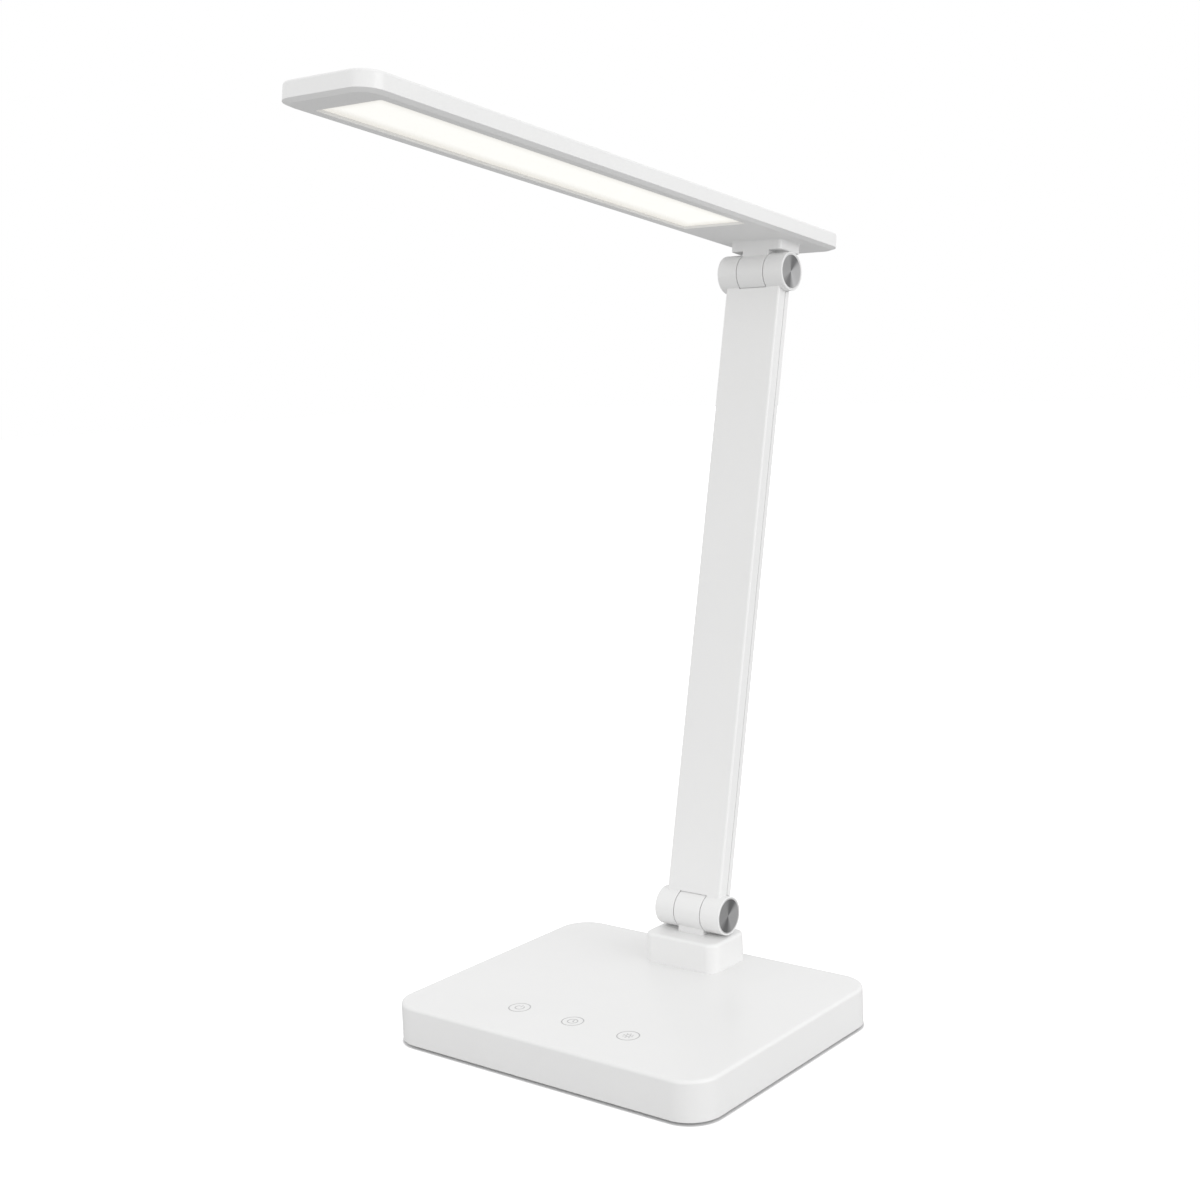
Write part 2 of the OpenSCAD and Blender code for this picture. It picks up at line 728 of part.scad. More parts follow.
module pedestal() color(white) difference() {
    union() {
        translate([0, ped_y, base_top])
            rimmed(ped_w, ped_d, ped_h, ped_r) rim_round(ped_r, ped_h, ped_edge);
        translate([-key_w, ped_y - key_d, roof_z]) cube([2*key_w, 2*key_d, base_roof + cut]);
        translate([-knuckle_x, axis_y - tongue_t/2, base_top + ped_h - cut])
            cube([knuckle_w, tongue_t, axis_h - ped_h + cut]);
        at_lower_axis() bar_x(barrel_r, -knuckle_x, knuckle_x);
    }
    at_lower_axis() knuckle_bore();
    translate([0, ped_y, roof_z - cut]) cylinder(r = lead_bore_r, h = ped_h);
    each_ped_screw() translate([0, 0, base_top - cut])
        cylinder(r = screw_r + press_gap, h = ped_h - ped_screw_end + cut);
}

module pedestal_screws() color(steel) each_ped_screw() translate([0, 0, roof_z])
    rotate([180, 0, 0]) screw(base_roof + ped_h - ped_screw_end - thread_gap);

// ---------- hinge pieces, about the origin ----------

// Bore of a centre knuckle: the bush's hole and a washer seat in each face
module knuckle_bore() {
    bar_x(bush_r + press_gap, -knuckle_x - cut, knuckle_x + cut);
    for (s = [0, 180]) rotate([0, 0, s])
        bar_x(washer_r + washer_gap, knuckle_x - washer_seat, knuckle_x + cut);
}

// What is cut out of an outer knuckle: washer seat, pin hole, pocket and cap seat
module ear_bore() {
    bar_x(washer_r + press_gap, ear_x - cut, ear_x + washer_seat);
    bar_x(pin_r + run_fit, ear_x - cut, barrel_x);
    bar_x(pocket_r, web_x, barrel_x);
    bar_x(cap_r + cap_gap, cap_seat_x, barrel_x + cut);
}

module bush() color(brass) difference() {
    bar_x(bush_r, -bush_l/2, bush_l/2);
    bar_x(pin_r + run_fit, -bush_l/2 - cut, bush_l/2 + cut);
}

module hinge_pin() color(steel) {
    bar_x(pin_r, -web_x - eps, pin_end_x);
    bar_x(pin_head_r, -web_x - pin_head_t, -web_x);
}

module washers() color(brass) for (s = [0, 180]) rotate([0, 0, s]) difference() {
    bar_x(washer_r, washer_x, washer_x + washer_t);
    bar_x(pin_r + run_fit, washer_x - cut, washer_x + washer_t + cut);
}

// Two disc springs set mouth to mouth on their flat lands
module disc_springs() color(metal) translate([web_x, 0, 0]) rotate([0, 90, 0])
    for (flip = [0, 1]) translate([0, 0, flip*(nut_x - web_x)]) mirror([0, 0, flip]) rotate_extrude()
        polygon([[pin_r + run_fit, 0], [spring_r, spring_cone], [spring_r, spring_h],
            [spring_r - spring_land, spring_h], [pin_r + run_fit, spring_t]]);

module nut() color(steel) difference() {
    translate([nut_x, 0, 0]) rotate([0, 90, 0]) cylinder(r = nut_r, h = nut_t, $fn = 6);
    bar_x(pin_r + press_gap, nut_x - cut, nut_x + nut_t + cut);
}

// Cap disc with a flat rim and a shallow turned cone
module cap() color(metal) translate([cap_seat_x, 0, 0]) rotate([0, 90, 0]) rotate_extrude()
    polygon([[0, 0], [cap_r, 0], [cap_r, cap_t - cap_break], [cap_r - cap_break, cap_t],
        [cap_r - cap_rim, cap_t], [0, cap_t - cap_dish]]);

module lower_bush() at_lower_axis() bush();
module lower_pin() on_arm() hinge_pin();
module lower_washers() on_arm() washers();
module lower_springs() on_arm() disc_springs();
module lower_nut() on_arm() nut();
module lower_cap_right() on_arm() cap();
module lower_cap_left() on_arm() mirror([1, 0, 0]) cap();

module on_arm_top() {
    on_arm() translate([0, 0, arm_l]) children();
}

module upper_bush() on_head() bush();
module upper_pin() on_arm_top() hinge_pin();
module upper_washers() on_arm_top() washers();
module upper_springs() on_arm_top() disc_springs();
module upper_nut() on_arm_top() nut();
module upper_cap_right() on_arm_top() cap();
module upper_cap_left() on_arm_top() mirror([1, 0, 0]) cap();

// ---------- arm ----------

// Cross-section of the front shell, front edges rounded
module shell_section() {
    translate([-arm_w/2, -arm_front + arm_edge]) square([arm_w, seam_at - arm_edge]);
    translate([-arm_w/2 + arm_edge, -arm_front]) square([arm_w - 2*arm_edge, arm_edge + eps]);
    for (s = [-1, 1]) translate([s*(arm_w/2 - arm_edge), -arm_front + arm_edge]) circle(arm_edge);
}

// Cross-section of the back cover, back edges rounded
module cover_section() {
    y0 = seam_y + seam_w;
    translate([-arm_w/2, y0]) square([arm_w, arm_back_y - arm_edge - y0]);
    translate([-arm_w/2 + arm_edge, y0]) square([arm_w - 2*arm_edge, arm_back_y - y0]);
    for (s = [-1, 1]) translate([s*(arm_w/2 - arm_edge), arm_back_y - arm_edge]) circle(arm_edge);
}

// Clears the barrel's full width, or only the centre knuckle's, at both ends of the arm
module both_ends(r, half) {
    for (z = [0, arm_l]) translate([0, 0, z]) bar_x(r, -half, half);
}

module arm_shell() color(white) on_arm() difference() {
    union() {
        difference() {
            linear_extrude(arm_l) shell_section();
            both_ends(barrel_r + arm_gap, ear_x);
            translate([-cavity_w/2, arm_in_y, arm_plug])
                cube([cavity_w, arm_t, arm_l - 2*arm_plug]);
        }
        for (z = [0, arm_l], s = [0, 180]) translate([0, 0, z]) rotate([0, 0, s])
            bar_x(barrel_r, ear_x, barrel_x);
        each_arm_screw() bar_y(boss_r, arm_in_y - eps, tray_y);
    }
    for (z = [0, arm_l], s = [0, 180]) translate([0, 0, z]) rotate([0, 0, s]) ear_bore();
    each_arm_screw() bar_y(screw_r + press_gap, arm_in_y + arm_screw_end, tray_y + cut);
}

module arm_cover() color(white) on_arm() difference() {
    union() {
        linear_extrude(arm_l) cover_section();
        // neck between the two shells, behind the seam's groove
        translate([-arm_w/2 + seam_deep, seam_y, 0])
            cube([arm_w - 2*seam_deep, seam_w + eps, arm_l]);
        // lip that centres the cover in the front shell, and a boss behind each screw
        translate([0, tray_y, arm_l/2]) rotate([-90, 0, 0])
            fence(cavity_w - 2*slip, arm_l - 2*(arm_plug + slip), seam_y - tray_y + eps, small_r, lip_t);
        each_arm_screw() bar_y(boss_r, tray_y, seam_y + eps);
    }
    both_ends(barrel_r + slip, arm_w);
    each_arm_screw() translate([0, arm_back_y, 0]) rotate([-90, 0, 0])
        flat_screw_hole(arm_t);
}

module arm_screws() color(steel) on_arm() each_arm_screw() translate([0, arm_back_y, 0])
    rotate([-90, 0, 0]) flat_screw(arm_back_y - arm_in_y - arm_screw_end - thread_gap);

module arm_strip() color(steel) on_arm() difference() {
    translate([-strip_w/2, arm_in_y, arm_plug + strip_end])
        cube([strip_w, strip_t, arm_l - 2*(arm_plug + strip_end)]);
    each_arm_screw() bar_y(boss_r + slip, arm_in_y - cut, arm_in_y + strip_t + cut);
}

module arm_lead() color(dark) on_arm()
    translate([boss_r + slip + lead_slack, arm_in_y + strip_t, arm_plug + strip_end + lead_end])
        cube([lead_w, lead_t, arm_l - 2*(arm_plug + strip_end + lead_end)]);

// ---------- head ----------

module head_shell() color(white) in_head() {
    difference() {
        translate([0, head_mid_y, band_h])
            rimmed(head_w, head_l, head_t - band_h, head_r)
                rim_round(head_r, head_t - band_h, head_edge);
        translate([0, head_mid_y, band_h - cut])
            slab(head_w - 2*head_wall, head_l - 2*head_wall, shell_roof_z - band_h + cut,
                head_r - head_wall);
    }
    // ribs that press the back plate down
    for (x = [-1, 1]) translate([x*guide_w/4 - lip_t/2, window_y - guide_l/2, plate_z + plate_t])
        cube([lip_t, guide_l, shell_roof_z - plate_z - plate_t + eps]);
}

module head_bezel() color(white) in_head() difference() {
    union() {
        translate([0, head_mid_y, 0]) rimmed(head_w, head_l, band_h, head_r)
            rim_slope(head_r, band_h, band_w, band_h);
        translate([0, head_mid_y, 0])
            slab(head_w - 2*(head_wall + slip), head_l - 2*(head_wall + slip), bezel_t,
                head_r - head_wall - slip);
        translate([0, head_mid_y, bezel_t - eps])
            fence(head_w - 2*(head_wall + slip), head_l - 2*(head_wall + slip), lip_h + eps,
                head_r - head_wall - slip, lip_t);
    }
    translate([0, window_y, -cut])
        slab(window_w, window_l, bezel_t + 2*cut, small_r);
    translate([0, window_y, ledge_t])
        slab(guide_w + 2*slip, guide_l + 2*slip, bezel_t, small_r);
    each_brk_screw() translate([0, 0, -cut]) cylinder(r = screw_r + screw_gap, h = bezel_t + 2*cut);
    translate([0, brk_y, -cut]) cylinder(r = lead_bore_r, h = bezel_t + 2*cut);
}

module diffuser() color([1, 0.98, 0.93]) in_head()
    translate([0, window_y, ledge_t]) slab(guide_w, guide_l, diffuser_t, small_r);

module light_guide() color([0.9, 0.95, 0.98]) in_head()
    translate([0, window_y, guide_z]) slab(guide_w, guide_l, guide_t, small_r);

module reflector_sheet() color(white) in_head()
    translate([0, window_y, sheet_z]) slab(guide_w, guide_l, sheet_t, small_r);

module led_boards() color(white) in_head() for (s = [-1, 1])
    translate([s*(led_board_x + led_board_t/2), window_y, guide_z + (plate_z - guide_z)/2])
        cube([led_board_t, guide_l, plate_z - guide_z], center = true);

module leds() color([1, 0.9, 0.6]) in_head() for (s = [-1, 1], i = [0 : led_n - 1])
    translate([s*(led_x + led_d/2), window_y + (i - (led_n - 1)/2)*led_pitch, guide_z + guide_t/2])
        cube([led_d, led_l, led_h], center = true);

module back_plate() color(metal) in_head() translate([0, window_y, plate_z])
    slab(2*(led_board_x + led_board_t), guide_l + 2*plate_over, plate_t, small_r);

module anchor_plate() color(steel) in_head() difference() {
    translate([0, brk_y, bezel_t]) slab(anchor_w, anchor_l, anchor_t, small_r);
    each_brk_screw() cylinder(r = screw_r + screw_gap, h = head_t);
    translate([0, brk_y, 0]) cylinder(r = lead_bore_r, h = head_t);
}

// Flat lead on the bezel, from the light's recess to the anchor plate
module head_lead() color(dark) in_head() {
    from_y = -window_back + flange_w + slip + lead_end;
    to_y = brk_y - anchor_l/2 - lead_end;
    translate([-lead_w/2, from_y, bezel_t]) cube([lead_w, to_y - from_y, lead_t]);
}

module head_bracket() color(white) on_head() difference() {
    union() {
        translate([0, brk_y, head_drop - brk_h]) slab(brk_w, brk_d, brk_h, brk_r);
        translate([-knuckle_x, -brk_front, 0]) cube([knuckle_w, 2*brk_front, head_drop - brk_h + cut]);
        bar_x(barrel_r, -knuckle_x, knuckle_x);
    }
    knuckle_bore();
    translate([0, 0, head_drop - brk_screw_depth]) each_brk_screw()
        cylinder(r = screw_r + press_gap, h = brk_screw_depth + cut);
    translate([0, brk_y, bush_r]) cylinder(r = lead_bore_r, h = head_drop);
}

module bracket_screws() color(steel) in_head() translate([0, 0, bezel_t + anchor_t])
    each_brk_screw() screw(bezel_t + anchor_t + brk_screw_depth - thread_gap);

base_housing();
bottom_cover();
foot_pads();
cover_screws();
counterweight();
weight_pads();
touch_board();
touch_contacts();
driver_board();
driver_parts();
board_screws();
power_inlet();
pedestal();
pedestal_screws();
lower_bush();
arm_shell();
arm_cover();
arm_screws();
arm_strip();
arm_lead();
lower_pin();
lower_washers();
lower_springs();
lower_nut();
lower_cap_right();
lower_cap_left();
upper_pin();
upper_washers();
upper_springs();
upper_nut();
upper_cap_right();
upper_cap_left();
head_shell();
head_bezel();
diffuser();
light_guide();
reflector_sheet();
led_boards();
leds();
back_plate();
head_bracket();
anchor_plate();
bracket_screws();
upper_bush();
head_lead();
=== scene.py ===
"""Looks of a folding desk lamp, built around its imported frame.

Sizes are millimetres of the real lamp where nothing else is said. Meshes are made in metres, in the
frame's axes: +Z is up, -Y is the front, and the origin is the middle of the footprint on the table.
"""

import json
import logging
import math
from dataclasses import dataclass, field
from enum import Enum
from typing import ClassVar, Iterable, Sequence

import bmesh
import bpy
from mathutils import Matrix, Vector


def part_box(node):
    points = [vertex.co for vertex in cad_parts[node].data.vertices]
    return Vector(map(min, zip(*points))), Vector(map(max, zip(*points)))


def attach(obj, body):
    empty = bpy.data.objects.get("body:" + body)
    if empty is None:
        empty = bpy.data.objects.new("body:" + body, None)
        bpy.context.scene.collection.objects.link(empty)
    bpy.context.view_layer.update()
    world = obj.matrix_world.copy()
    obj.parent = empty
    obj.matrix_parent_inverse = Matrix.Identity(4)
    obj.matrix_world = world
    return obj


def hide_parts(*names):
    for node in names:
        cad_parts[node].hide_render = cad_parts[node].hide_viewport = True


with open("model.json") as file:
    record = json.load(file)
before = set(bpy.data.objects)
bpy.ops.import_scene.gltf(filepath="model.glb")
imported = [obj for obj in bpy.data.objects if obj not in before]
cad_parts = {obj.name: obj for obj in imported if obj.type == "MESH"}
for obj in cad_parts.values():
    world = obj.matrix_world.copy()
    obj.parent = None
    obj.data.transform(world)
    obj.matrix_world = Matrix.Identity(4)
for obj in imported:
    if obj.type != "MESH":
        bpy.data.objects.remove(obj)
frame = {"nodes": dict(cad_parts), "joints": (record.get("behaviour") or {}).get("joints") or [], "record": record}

LOG = logging.getLogger("desk_lamp")

MM = 0.001
SHARP_ANGLE = math.radians(34)

# Segments of a plan's corner, of rounded edges, and round an axis
CORNER_STEPS, EDGE_STEPS, ROUND_STEPS, FINE_STEPS = 12, 8, 6, 4
LATHE_STEPS, SMALL_STEPS, SINK_STEPS = 128, 64, 48

FINE_ROUND = 0.25  # rounding of an edge that is hardly seen
SEAM_ROUND = 0.12  # bevel beside the arm's seam
FLAT_STRIP = 0.4  # flat strip beside a rounded edge, which keeps its shading even
LEAST_RADIUS = 0.2
NOISE_RANGE = (0.3, 0.7)  # where most values of a noise pattern lie
QUARTER = math.pi / 2
UNMOVED = Matrix.Identity(4)
WHITE = (1.0, 1.0, 1.0, 1.0)

Colour = tuple[float, float, float]
Pair = tuple[float, float]
Piece = bpy.types.Object
Socket = bpy.types.NodeSocket


class Action(Enum):
    """What a tool shape does to a piece."""

    ADD = "UNION"
    REMOVE = "DIFFERENCE"


class Axis(Enum):
    """The axis of a turned shape: which of distance, cosine and sine X, Y and Z take."""

    X = (0, 1, 2)
    Y = (1, 0, 2)
    Z = (1, 2, 0)


class Body(Enum):
    """The lamp's three moving bodies."""

    BASE = "base"
    ARM = "arm"
    HEAD = "head"


# ---------------------------------------------------------------- shapes


def arc(centre: Pair, radius: float, start: float, end: float,
        steps: int = ROUND_STEPS) -> list[Pair]:
    """Points on a circular arc.

    Args:
        centre: Middle of the arc.
        radius: Radius of the arc.
        start: First angle in degrees.
        end: Last angle in degrees.
        steps: Number of segments.

    Returns:
        The points from the first angle to the last.
    """
    angles = [math.radians(start + (end - start) * i / steps) for i in range(steps + 1)]
    return [(centre[0] + radius * math.cos(a), centre[1] + radius * math.sin(a)) for a in angles]


@dataclass(frozen=True)
class Plan:
    """A rounded rectangle seen from above."""

    width: float
    depth: float
    radius: float
    middle_y: float = 0.0

    def ring(self, inset: float, level: float) -> list[Vector]:
        """The outline moved inwards.

        Args:
            inset: How far it moves inwards.
            level: Its height.

        Returns:
            The outline's points, anticlockwise from the right rear corner.
        """
        radius = max(self.radius - inset, LEAST_RADIUS)
        half_w, half_d = self.width / 2 - inset - radius, self.depth / 2 - inset - radius
        points: list[Vector] = []
        for turn, (sx, sy) in enumerate(((1, 1), (-1, 1), (-1, -1), (1, -1))):
            corner, start = (sx * half_w, sy * half_d), 90 * turn
            for x, y in arc(corner, radius, start, start + 90, CORNER_STEPS):
                points.append(Vector((x, y + self.middle_y, level)))
        return points

    def rings(self, steps: Iterable[Pair]) -> list[list[Vector]]:
        """The outline at each inset and level."""
        return [self.ring(inset, level) for inset, level in steps]


@dataclass
class Shape:
    """Vertices and faces of one or more closed shapes, in millimetres."""

    verts: list[Vector] = field(default_factory=list)
    faces: list[list[int]] = field(default_factory=list)

    @classmethod
    def loft(cls, rings: Iterable[Sequence[Vector]], closed: bool = False) -> "Shape":
        """Skins a row of rings that have the same number of points.

        Args:
            rings: The rings in order.
            closed: True joins the last ring to the first, and False caps both ends.

        Returns:
            The closed shape.
        """
        shape, rows = cls(), []
        for ring in rings:
            rows.append(list(range(len(shape.verts), len(shape.verts) + len(ring))))
            shape.verts.extend(ring)
        for low, high in list(zip(rows, rows[1:])) + ([(rows[-1], rows[0])] if closed else []):
            for i in range(len(low)):
                j = (i + 1) % len(low)
                shape.faces.append([low[i], low[j], high[j], high[i]])
        if not closed:
            shape.faces += [rows[0][::-1], rows[-1]]
        return shape

    @classmethod
    def turned(cls, profile: Iterable[Pair], axis: Axis = Axis.X, steps: int = LATHE_STEPS,
               start: Sequence[float] = (0.0, 0.0, 0.0)) -> "Shape":
        """A solid turned round an axis.

        Args:
            profile: Points of distance along the axis and radius, from end to end.
            axis: The axis' direction.
            steps: Number of segments round it.
            start: A point on the axis, from which the distances count.

        Returns:
            The closed shape.
        """
        rings = []
        for along, r in profile:
            turns = (math.tau * i / steps for i in range(steps))
            spots = ((along, r * math.cos(a), r * math.sin(a)) for a in turns)
            rings.append([Vector([s + spot[n] for s, n in zip(start, axis.value)])
                          for spot in spots])
        return cls.loft(rings)

    @classmethod
    def bar(cls, start: float, end: float, radius: float, edge: float = 0.0) -> "Shape":
        """A solid round bar along X.

        Args:
            start: Where it starts.
            end: Where it ends.
            radius: Its radius.
            edge: Rounding of its end edges.

        Returns:
            The closed shape.
        """
        if not edge:
            return cls.turned([(start, radius), (end, radius)])
        rounded = arc((start + edge, radius - edge), edge, 180, 90)
        return cls.turned(rounded + arc((end - edge, radius - edge), edge, 90, 0))

    @classmethod
    def lathe(cls, profile: Sequence[Pair]) -> "Shape":
        """Turns a closed profile round the X axis.

        Args:
            profile: Points of distance along X and radius, none of them on the axis.

        Returns:
            The closed ring shape.
        """
        rings = []
        for i in range(SMALL_STEPS):
            a = math.tau * i / SMALL_STEPS
            rings.append([Vector((x, r * math.cos(a), r * math.sin(a))) for x, r in profile])
        return cls.loft(rings, closed=True)

    @classmethod
    def prism(cls, outline: Sequence[Pair], start: float, end: float) -> "Shape":
        """Draws an outline of X and Y along Z."""
        return cls.loft([[Vector((x, y, z)) for x, y in outline] for z in (start, end)])

    @classmethod
    def block(cls, low: Sequence[float], high: Sequence[float]) -> "Shape":
        """A plain box between two corners, used as a cutting tool or a start."""
        outline = [(low[0], low[1]), (high[0], low[1]), (high[0], high[1]), (low[0], high[1])]
        return cls.prism(outline, low[2], high[2])

    def moved(self, place: Matrix) -> "Shape":
        """A copy of the shape in another place."""
        return Shape([place @ v for v in self.verts], [list(f) for f in self.faces])

    def at(self, *spots: Sequence[float]) -> "Shape":
        """Copies of the shape at several spots, as one shape."""
        return sum((self.moved(Matrix.Translation(spot)) for spot in spots), Shape())

    def both_sides(self) -> "Shape":
        """The shape and a copy turned half round Z."""
        return self + self.moved(Matrix.Rotation(math.pi, 4, "Z"))

    def __add__(self, other: "Shape") -> "Shape":
        """Both shapes side by side in one."""
        shift = len(self.verts)
        faces = [[i + shift for i in face] for face in other.faces]
        return Shape(self.verts + other.verts, self.faces + faces)

    def piece(self, name: str, place: Matrix = UNMOVED) -> Piece:
        """Makes a Blender object, in metres.

        Args:
            name: The object's name.
            place: Where the shape goes in the frame, in millimetres.

        Returns:
            The object, at the origin with its place in its mesh.
        """
        mesh = bpy.data.meshes.new(name)
        mesh.from_pydata([(place @ v) * MM for v in self.verts], [], self.faces)
        build = bmesh.new()
        build.from_mesh(mesh)
        bmesh.ops.recalc_face_normals(build, faces=build.faces)
        build.to_mesh(mesh)
        build.free()
        return link(name, mesh)


def link(name: str, data: bpy.types.ID) -> Piece:
    """Puts a mesh, light or camera into the scene as an object."""
    obj = bpy.data.objects.new(name, data)
    bpy.context.scene.collection.objects.link(obj)
    return obj


def settle(obj: Piece) -> None:
    """Turns an object's modifiers into its plain mesh."""
    depsgraph = bpy.context.evaluated_depsgraph_get()
    mesh = bpy.data.meshes.new_from_object(
        obj.evaluated_get(depsgraph), preserve_all_data_layers=True, depsgraph=depsgraph)
    old, name = obj.data, obj.data.name
    obj.modifiers.clear()
    obj.data = mesh
    bpy.data.meshes.remove(old)
    mesh.name = name


def carve(obj: Piece, place: Matrix, *changes: tuple[Action, Shape]) -> None:
    """Adds shapes to a piece or takes them away, in order.

    Args:
        obj: The piece.
        place: Where the tool shapes go, in millimetres.
        changes: What each tool shape does, and the shape.
    """
    for action, shape in changes:
        tool = shape.piece("tool", place)
        change = obj.modifiers.new("carve", "BOOLEAN")
        change.operation = action.value
        change.solver = "EXACT"
        change.object = tool
        settle(obj)
        bpy.data.objects.remove(tool)


def shade(obj: Piece) -> None:
    """Smooth shading that keeps flat faces flat and real edges sharp."""
    mesh = obj.data
    mesh.polygons.foreach_set("use_smooth", [True] * len(mesh.polygons))
    mesh.set_sharp_from_angle(angle=SHARP_ANGLE)
    even = obj.modifiers.new("even", "WEIGHTED_NORMAL")
    even.keep_sharp = True
    settle(obj)


def metres(place: Matrix) -> Matrix:
    """A place in millimetres as one in metres."""
    moved = place.copy()
    moved.translation = place.translation * MM
    return moved


# ---------------------------------------------------------------- nodes and finishes


class Nodes:
    """A node tree that is filled by short calls."""

    prefix: ClassVar[str] = "ShaderNode"

    def __init__(self, tree: bpy.types.NodeTree) -> None:
        """Empties the tree."""
        self.tree = tree
        tree.nodes.clear()

    def feed(self, socket: Socket, value: object) -> None:
        """Links or sets one socket."""
        if isinstance(value, Socket):
            self.tree.links.new(value, socket)
        else:
            socket.default_value = value

    def node(self, kind: str, **values: object) -> bpy.types.Node:
        """Adds a node.

        Args:
            kind: The node's type, without the tree's usual prefix or in full.
            values: Its settings, then its inputs by name with underscores for spaces.

        Returns:
            The node.
        """
        made = self.tree.nodes.new(kind if "Node" in kind else self.prefix + kind)
        for key, value in values.items():
            name = key.replace("_", " ")
            socket = next((s for s in made.inputs if s.name == name and s.enabled), None)
            if socket is None:
                setattr(made, key, value)
            else:
                self.feed(socket, value)
        return made

    def sum(self, operation: str, *values: object) -> Socket:
        """One step of arithmetic.

        Args:
            operation: The step's name.
            values: Sockets and numbers, in order.

        Returns:
            The result.
        """
        made = self.node("ShaderNodeMath", operation=operation)
        for socket, value in zip(made.inputs, values):
            self.feed(socket, value)
        return made.outputs[0]

    def vector(self, x: object = 0.0, y: object = 0.0, z: object = 0.0) -> Socket:
        """Three values as one vector."""
        return self.node("ShaderNodeCombineXYZ", X=x, Y=y, Z=z).outputs[0]

    def parts(self, vector: Socket) -> bpy.types.NodeOutputs:
        """A vector's X, Y and Z."""
        return self.node("ShaderNodeSeparateXYZ", Vector=vector).outputs


class Sheet(Nodes):
    """The nodes of one material. Its patterns lie on the piece's own coordinates."""

    def __init__(self, name: str) -> None:
        """Starts an empty material with its output."""
        self.material = bpy.data.materials.new(name)
        self.material.use_nodes = True
        super().__init__(self.material.node_tree)
        self.output = self.node("OutputMaterial").inputs["Surface"]
        self.coords = self.node("TexCoord").outputs

    def span_of(self, x: Socket, y: Socket) -> Socket:
        """The length of a flat vector."""
        made = self.node("VectorMath", operation="LENGTH", Vector=self.vector(x, y))
        return made.outputs["Value"]

    def step(self, value: Socket, start: float, end: float, low: float = 0.0,
             high: float = 1.0) -> Socket:
        """A soft step from one value to another.

        Args:
            value: What the step follows.
            start: Where the step starts.
            end: Where it ends.
            low: The value before it.
            high: The value after it.

        Returns:
            The stepped value.
        """
        made = self.node("MapRange", interpolation_type="SMOOTHSTEP", Value=value,
                         From_Min=start, From_Max=end, To_Min=low, To_Max=high)
        return made.outputs["Result"]

    def noise(self, scale: float, detail: float = 2.0, roughness: float = 0.5,
              vector: Socket | None = None) -> Socket:
        """A noise pattern.

        Args:
            scale: Features per metre.
            detail: How many finer layers it has.
            roughness: How strong the finer layers are.
            vector: What it lies on, if not the piece's own coordinates.

        Returns:
            The pattern.
        """
        made = self.node("TexNoise", Vector=vector or self.coords["Object"], Scale=scale,
                         Detail=detail, Roughness=roughness)
        return made.outputs["Fac"]

    def span(self, value: Socket, low: float, high: float) -> Socket:
        """Maps a pattern's usual values onto a range."""
        made = self.node("MapRange", Value=value, From_Min=NOISE_RANGE[0], From_Max=NOISE_RANGE[1],
                         To_Min=low, To_Max=high)
        return made.outputs["Result"]

    def blend(self, amount: Socket, low: Colour | Socket, high: Colour | Socket) -> Socket:
        """A colour between two others."""
        ends = [end if isinstance(end, Socket) else (*end, 1.0) for end in (low, high)]
        return self.node("MixRGB", Fac=amount, Color1=ends[0], Color2=ends[1]).outputs["Color"]

    def bump(self, height: Socket, depth: float) -> Socket:
        """A bump of a given depth in millimetres."""
        return self.node("Bump", Height=height, Distance=depth * MM, Strength=1.0).outputs["Normal"]


@dataclass(frozen=True)
class Finish:
    """A finish with a colour that drifts a little, an uneven gloss and a fine grain."""

    name: str
    slot: str
    colour: Colour
    drift: Colour
    rough: Pair = (0.3, 0.36)
    patch_scale: float = 18.0
    grain_scale: float = 2600.0
    grain_depth: float = 0.004
    coat: float = 0.0
    coat_rough: float = 0.12
    specular: float = 0.5
    transmission: float = 0.0

    def make(self) -> bpy.types.Material:
        """Builds the material."""
        sheet = Sheet(self.name)
        shader = sheet.node("BsdfPrincipled", **self.inputs(sheet))
        sheet.feed(sheet.output, shader.outputs["BSDF"])
        return sheet.material

    def tint(self, sheet: Sheet, detail: float = 4.0) -> Socket:
        """The drifting colour."""
        patch = sheet.noise(self.patch_scale, detail)
        return sheet.blend(sheet.span(patch, 0.0, 1.0), self.colour, self.drift)

    def grain(self, sheet: Sheet) -> Socket:
        """The fine grain as a bump."""
        return sheet.bump(sheet.noise(self.grain_scale, 3.0, 0.6), self.grain_depth)

    def inputs(self, sheet: Sheet) -> dict[str, object]:
        """What the shader gets.

        Args:
            sheet: The material's nodes.

        Returns:
            The shader's inputs by name, with underscores for spaces.
        """
        return {
            "Base_Color": self.tint(sheet),
            "Roughness": sheet.span(sheet.noise(self.patch_scale * 7, 5.0), *self.rough),
            "Normal": self.grain(sheet),
            "Coat_Weight": self.coat,
            "Coat_Roughness": self.coat_rough,
            "Specular_IOR_Level": self.specular,
            "Transmission_Weight": self.transmission,
        }


@dataclass(frozen=True)
class BrushedFinish(Finish):
    """A metal with fine lines along one axis of the piece."""

    stretch: tuple[float, float, float] = (1.0, 1.0, 40.0)

    def inputs(self, sheet: Sheet) -> dict[str, object]:
        """What the shader gets.

        Args:
            sheet: The material's nodes.

        Returns:
            The shader's inputs by name, with underscores for spaces.
        """
        along = sheet.node("Mapping", Vector=sheet.coords["Object"], Scale=self.stretch)
        lines = sheet.noise(self.grain_scale, 4.0, 0.7, along.outputs["Vector"])
        return {
            "Base_Color": self.tint(sheet),
            "Roughness": sheet.span(lines, *self.rough),
            "Normal": sheet.bump(lines, self.grain_depth),
            "Metallic": 1.0,
        }


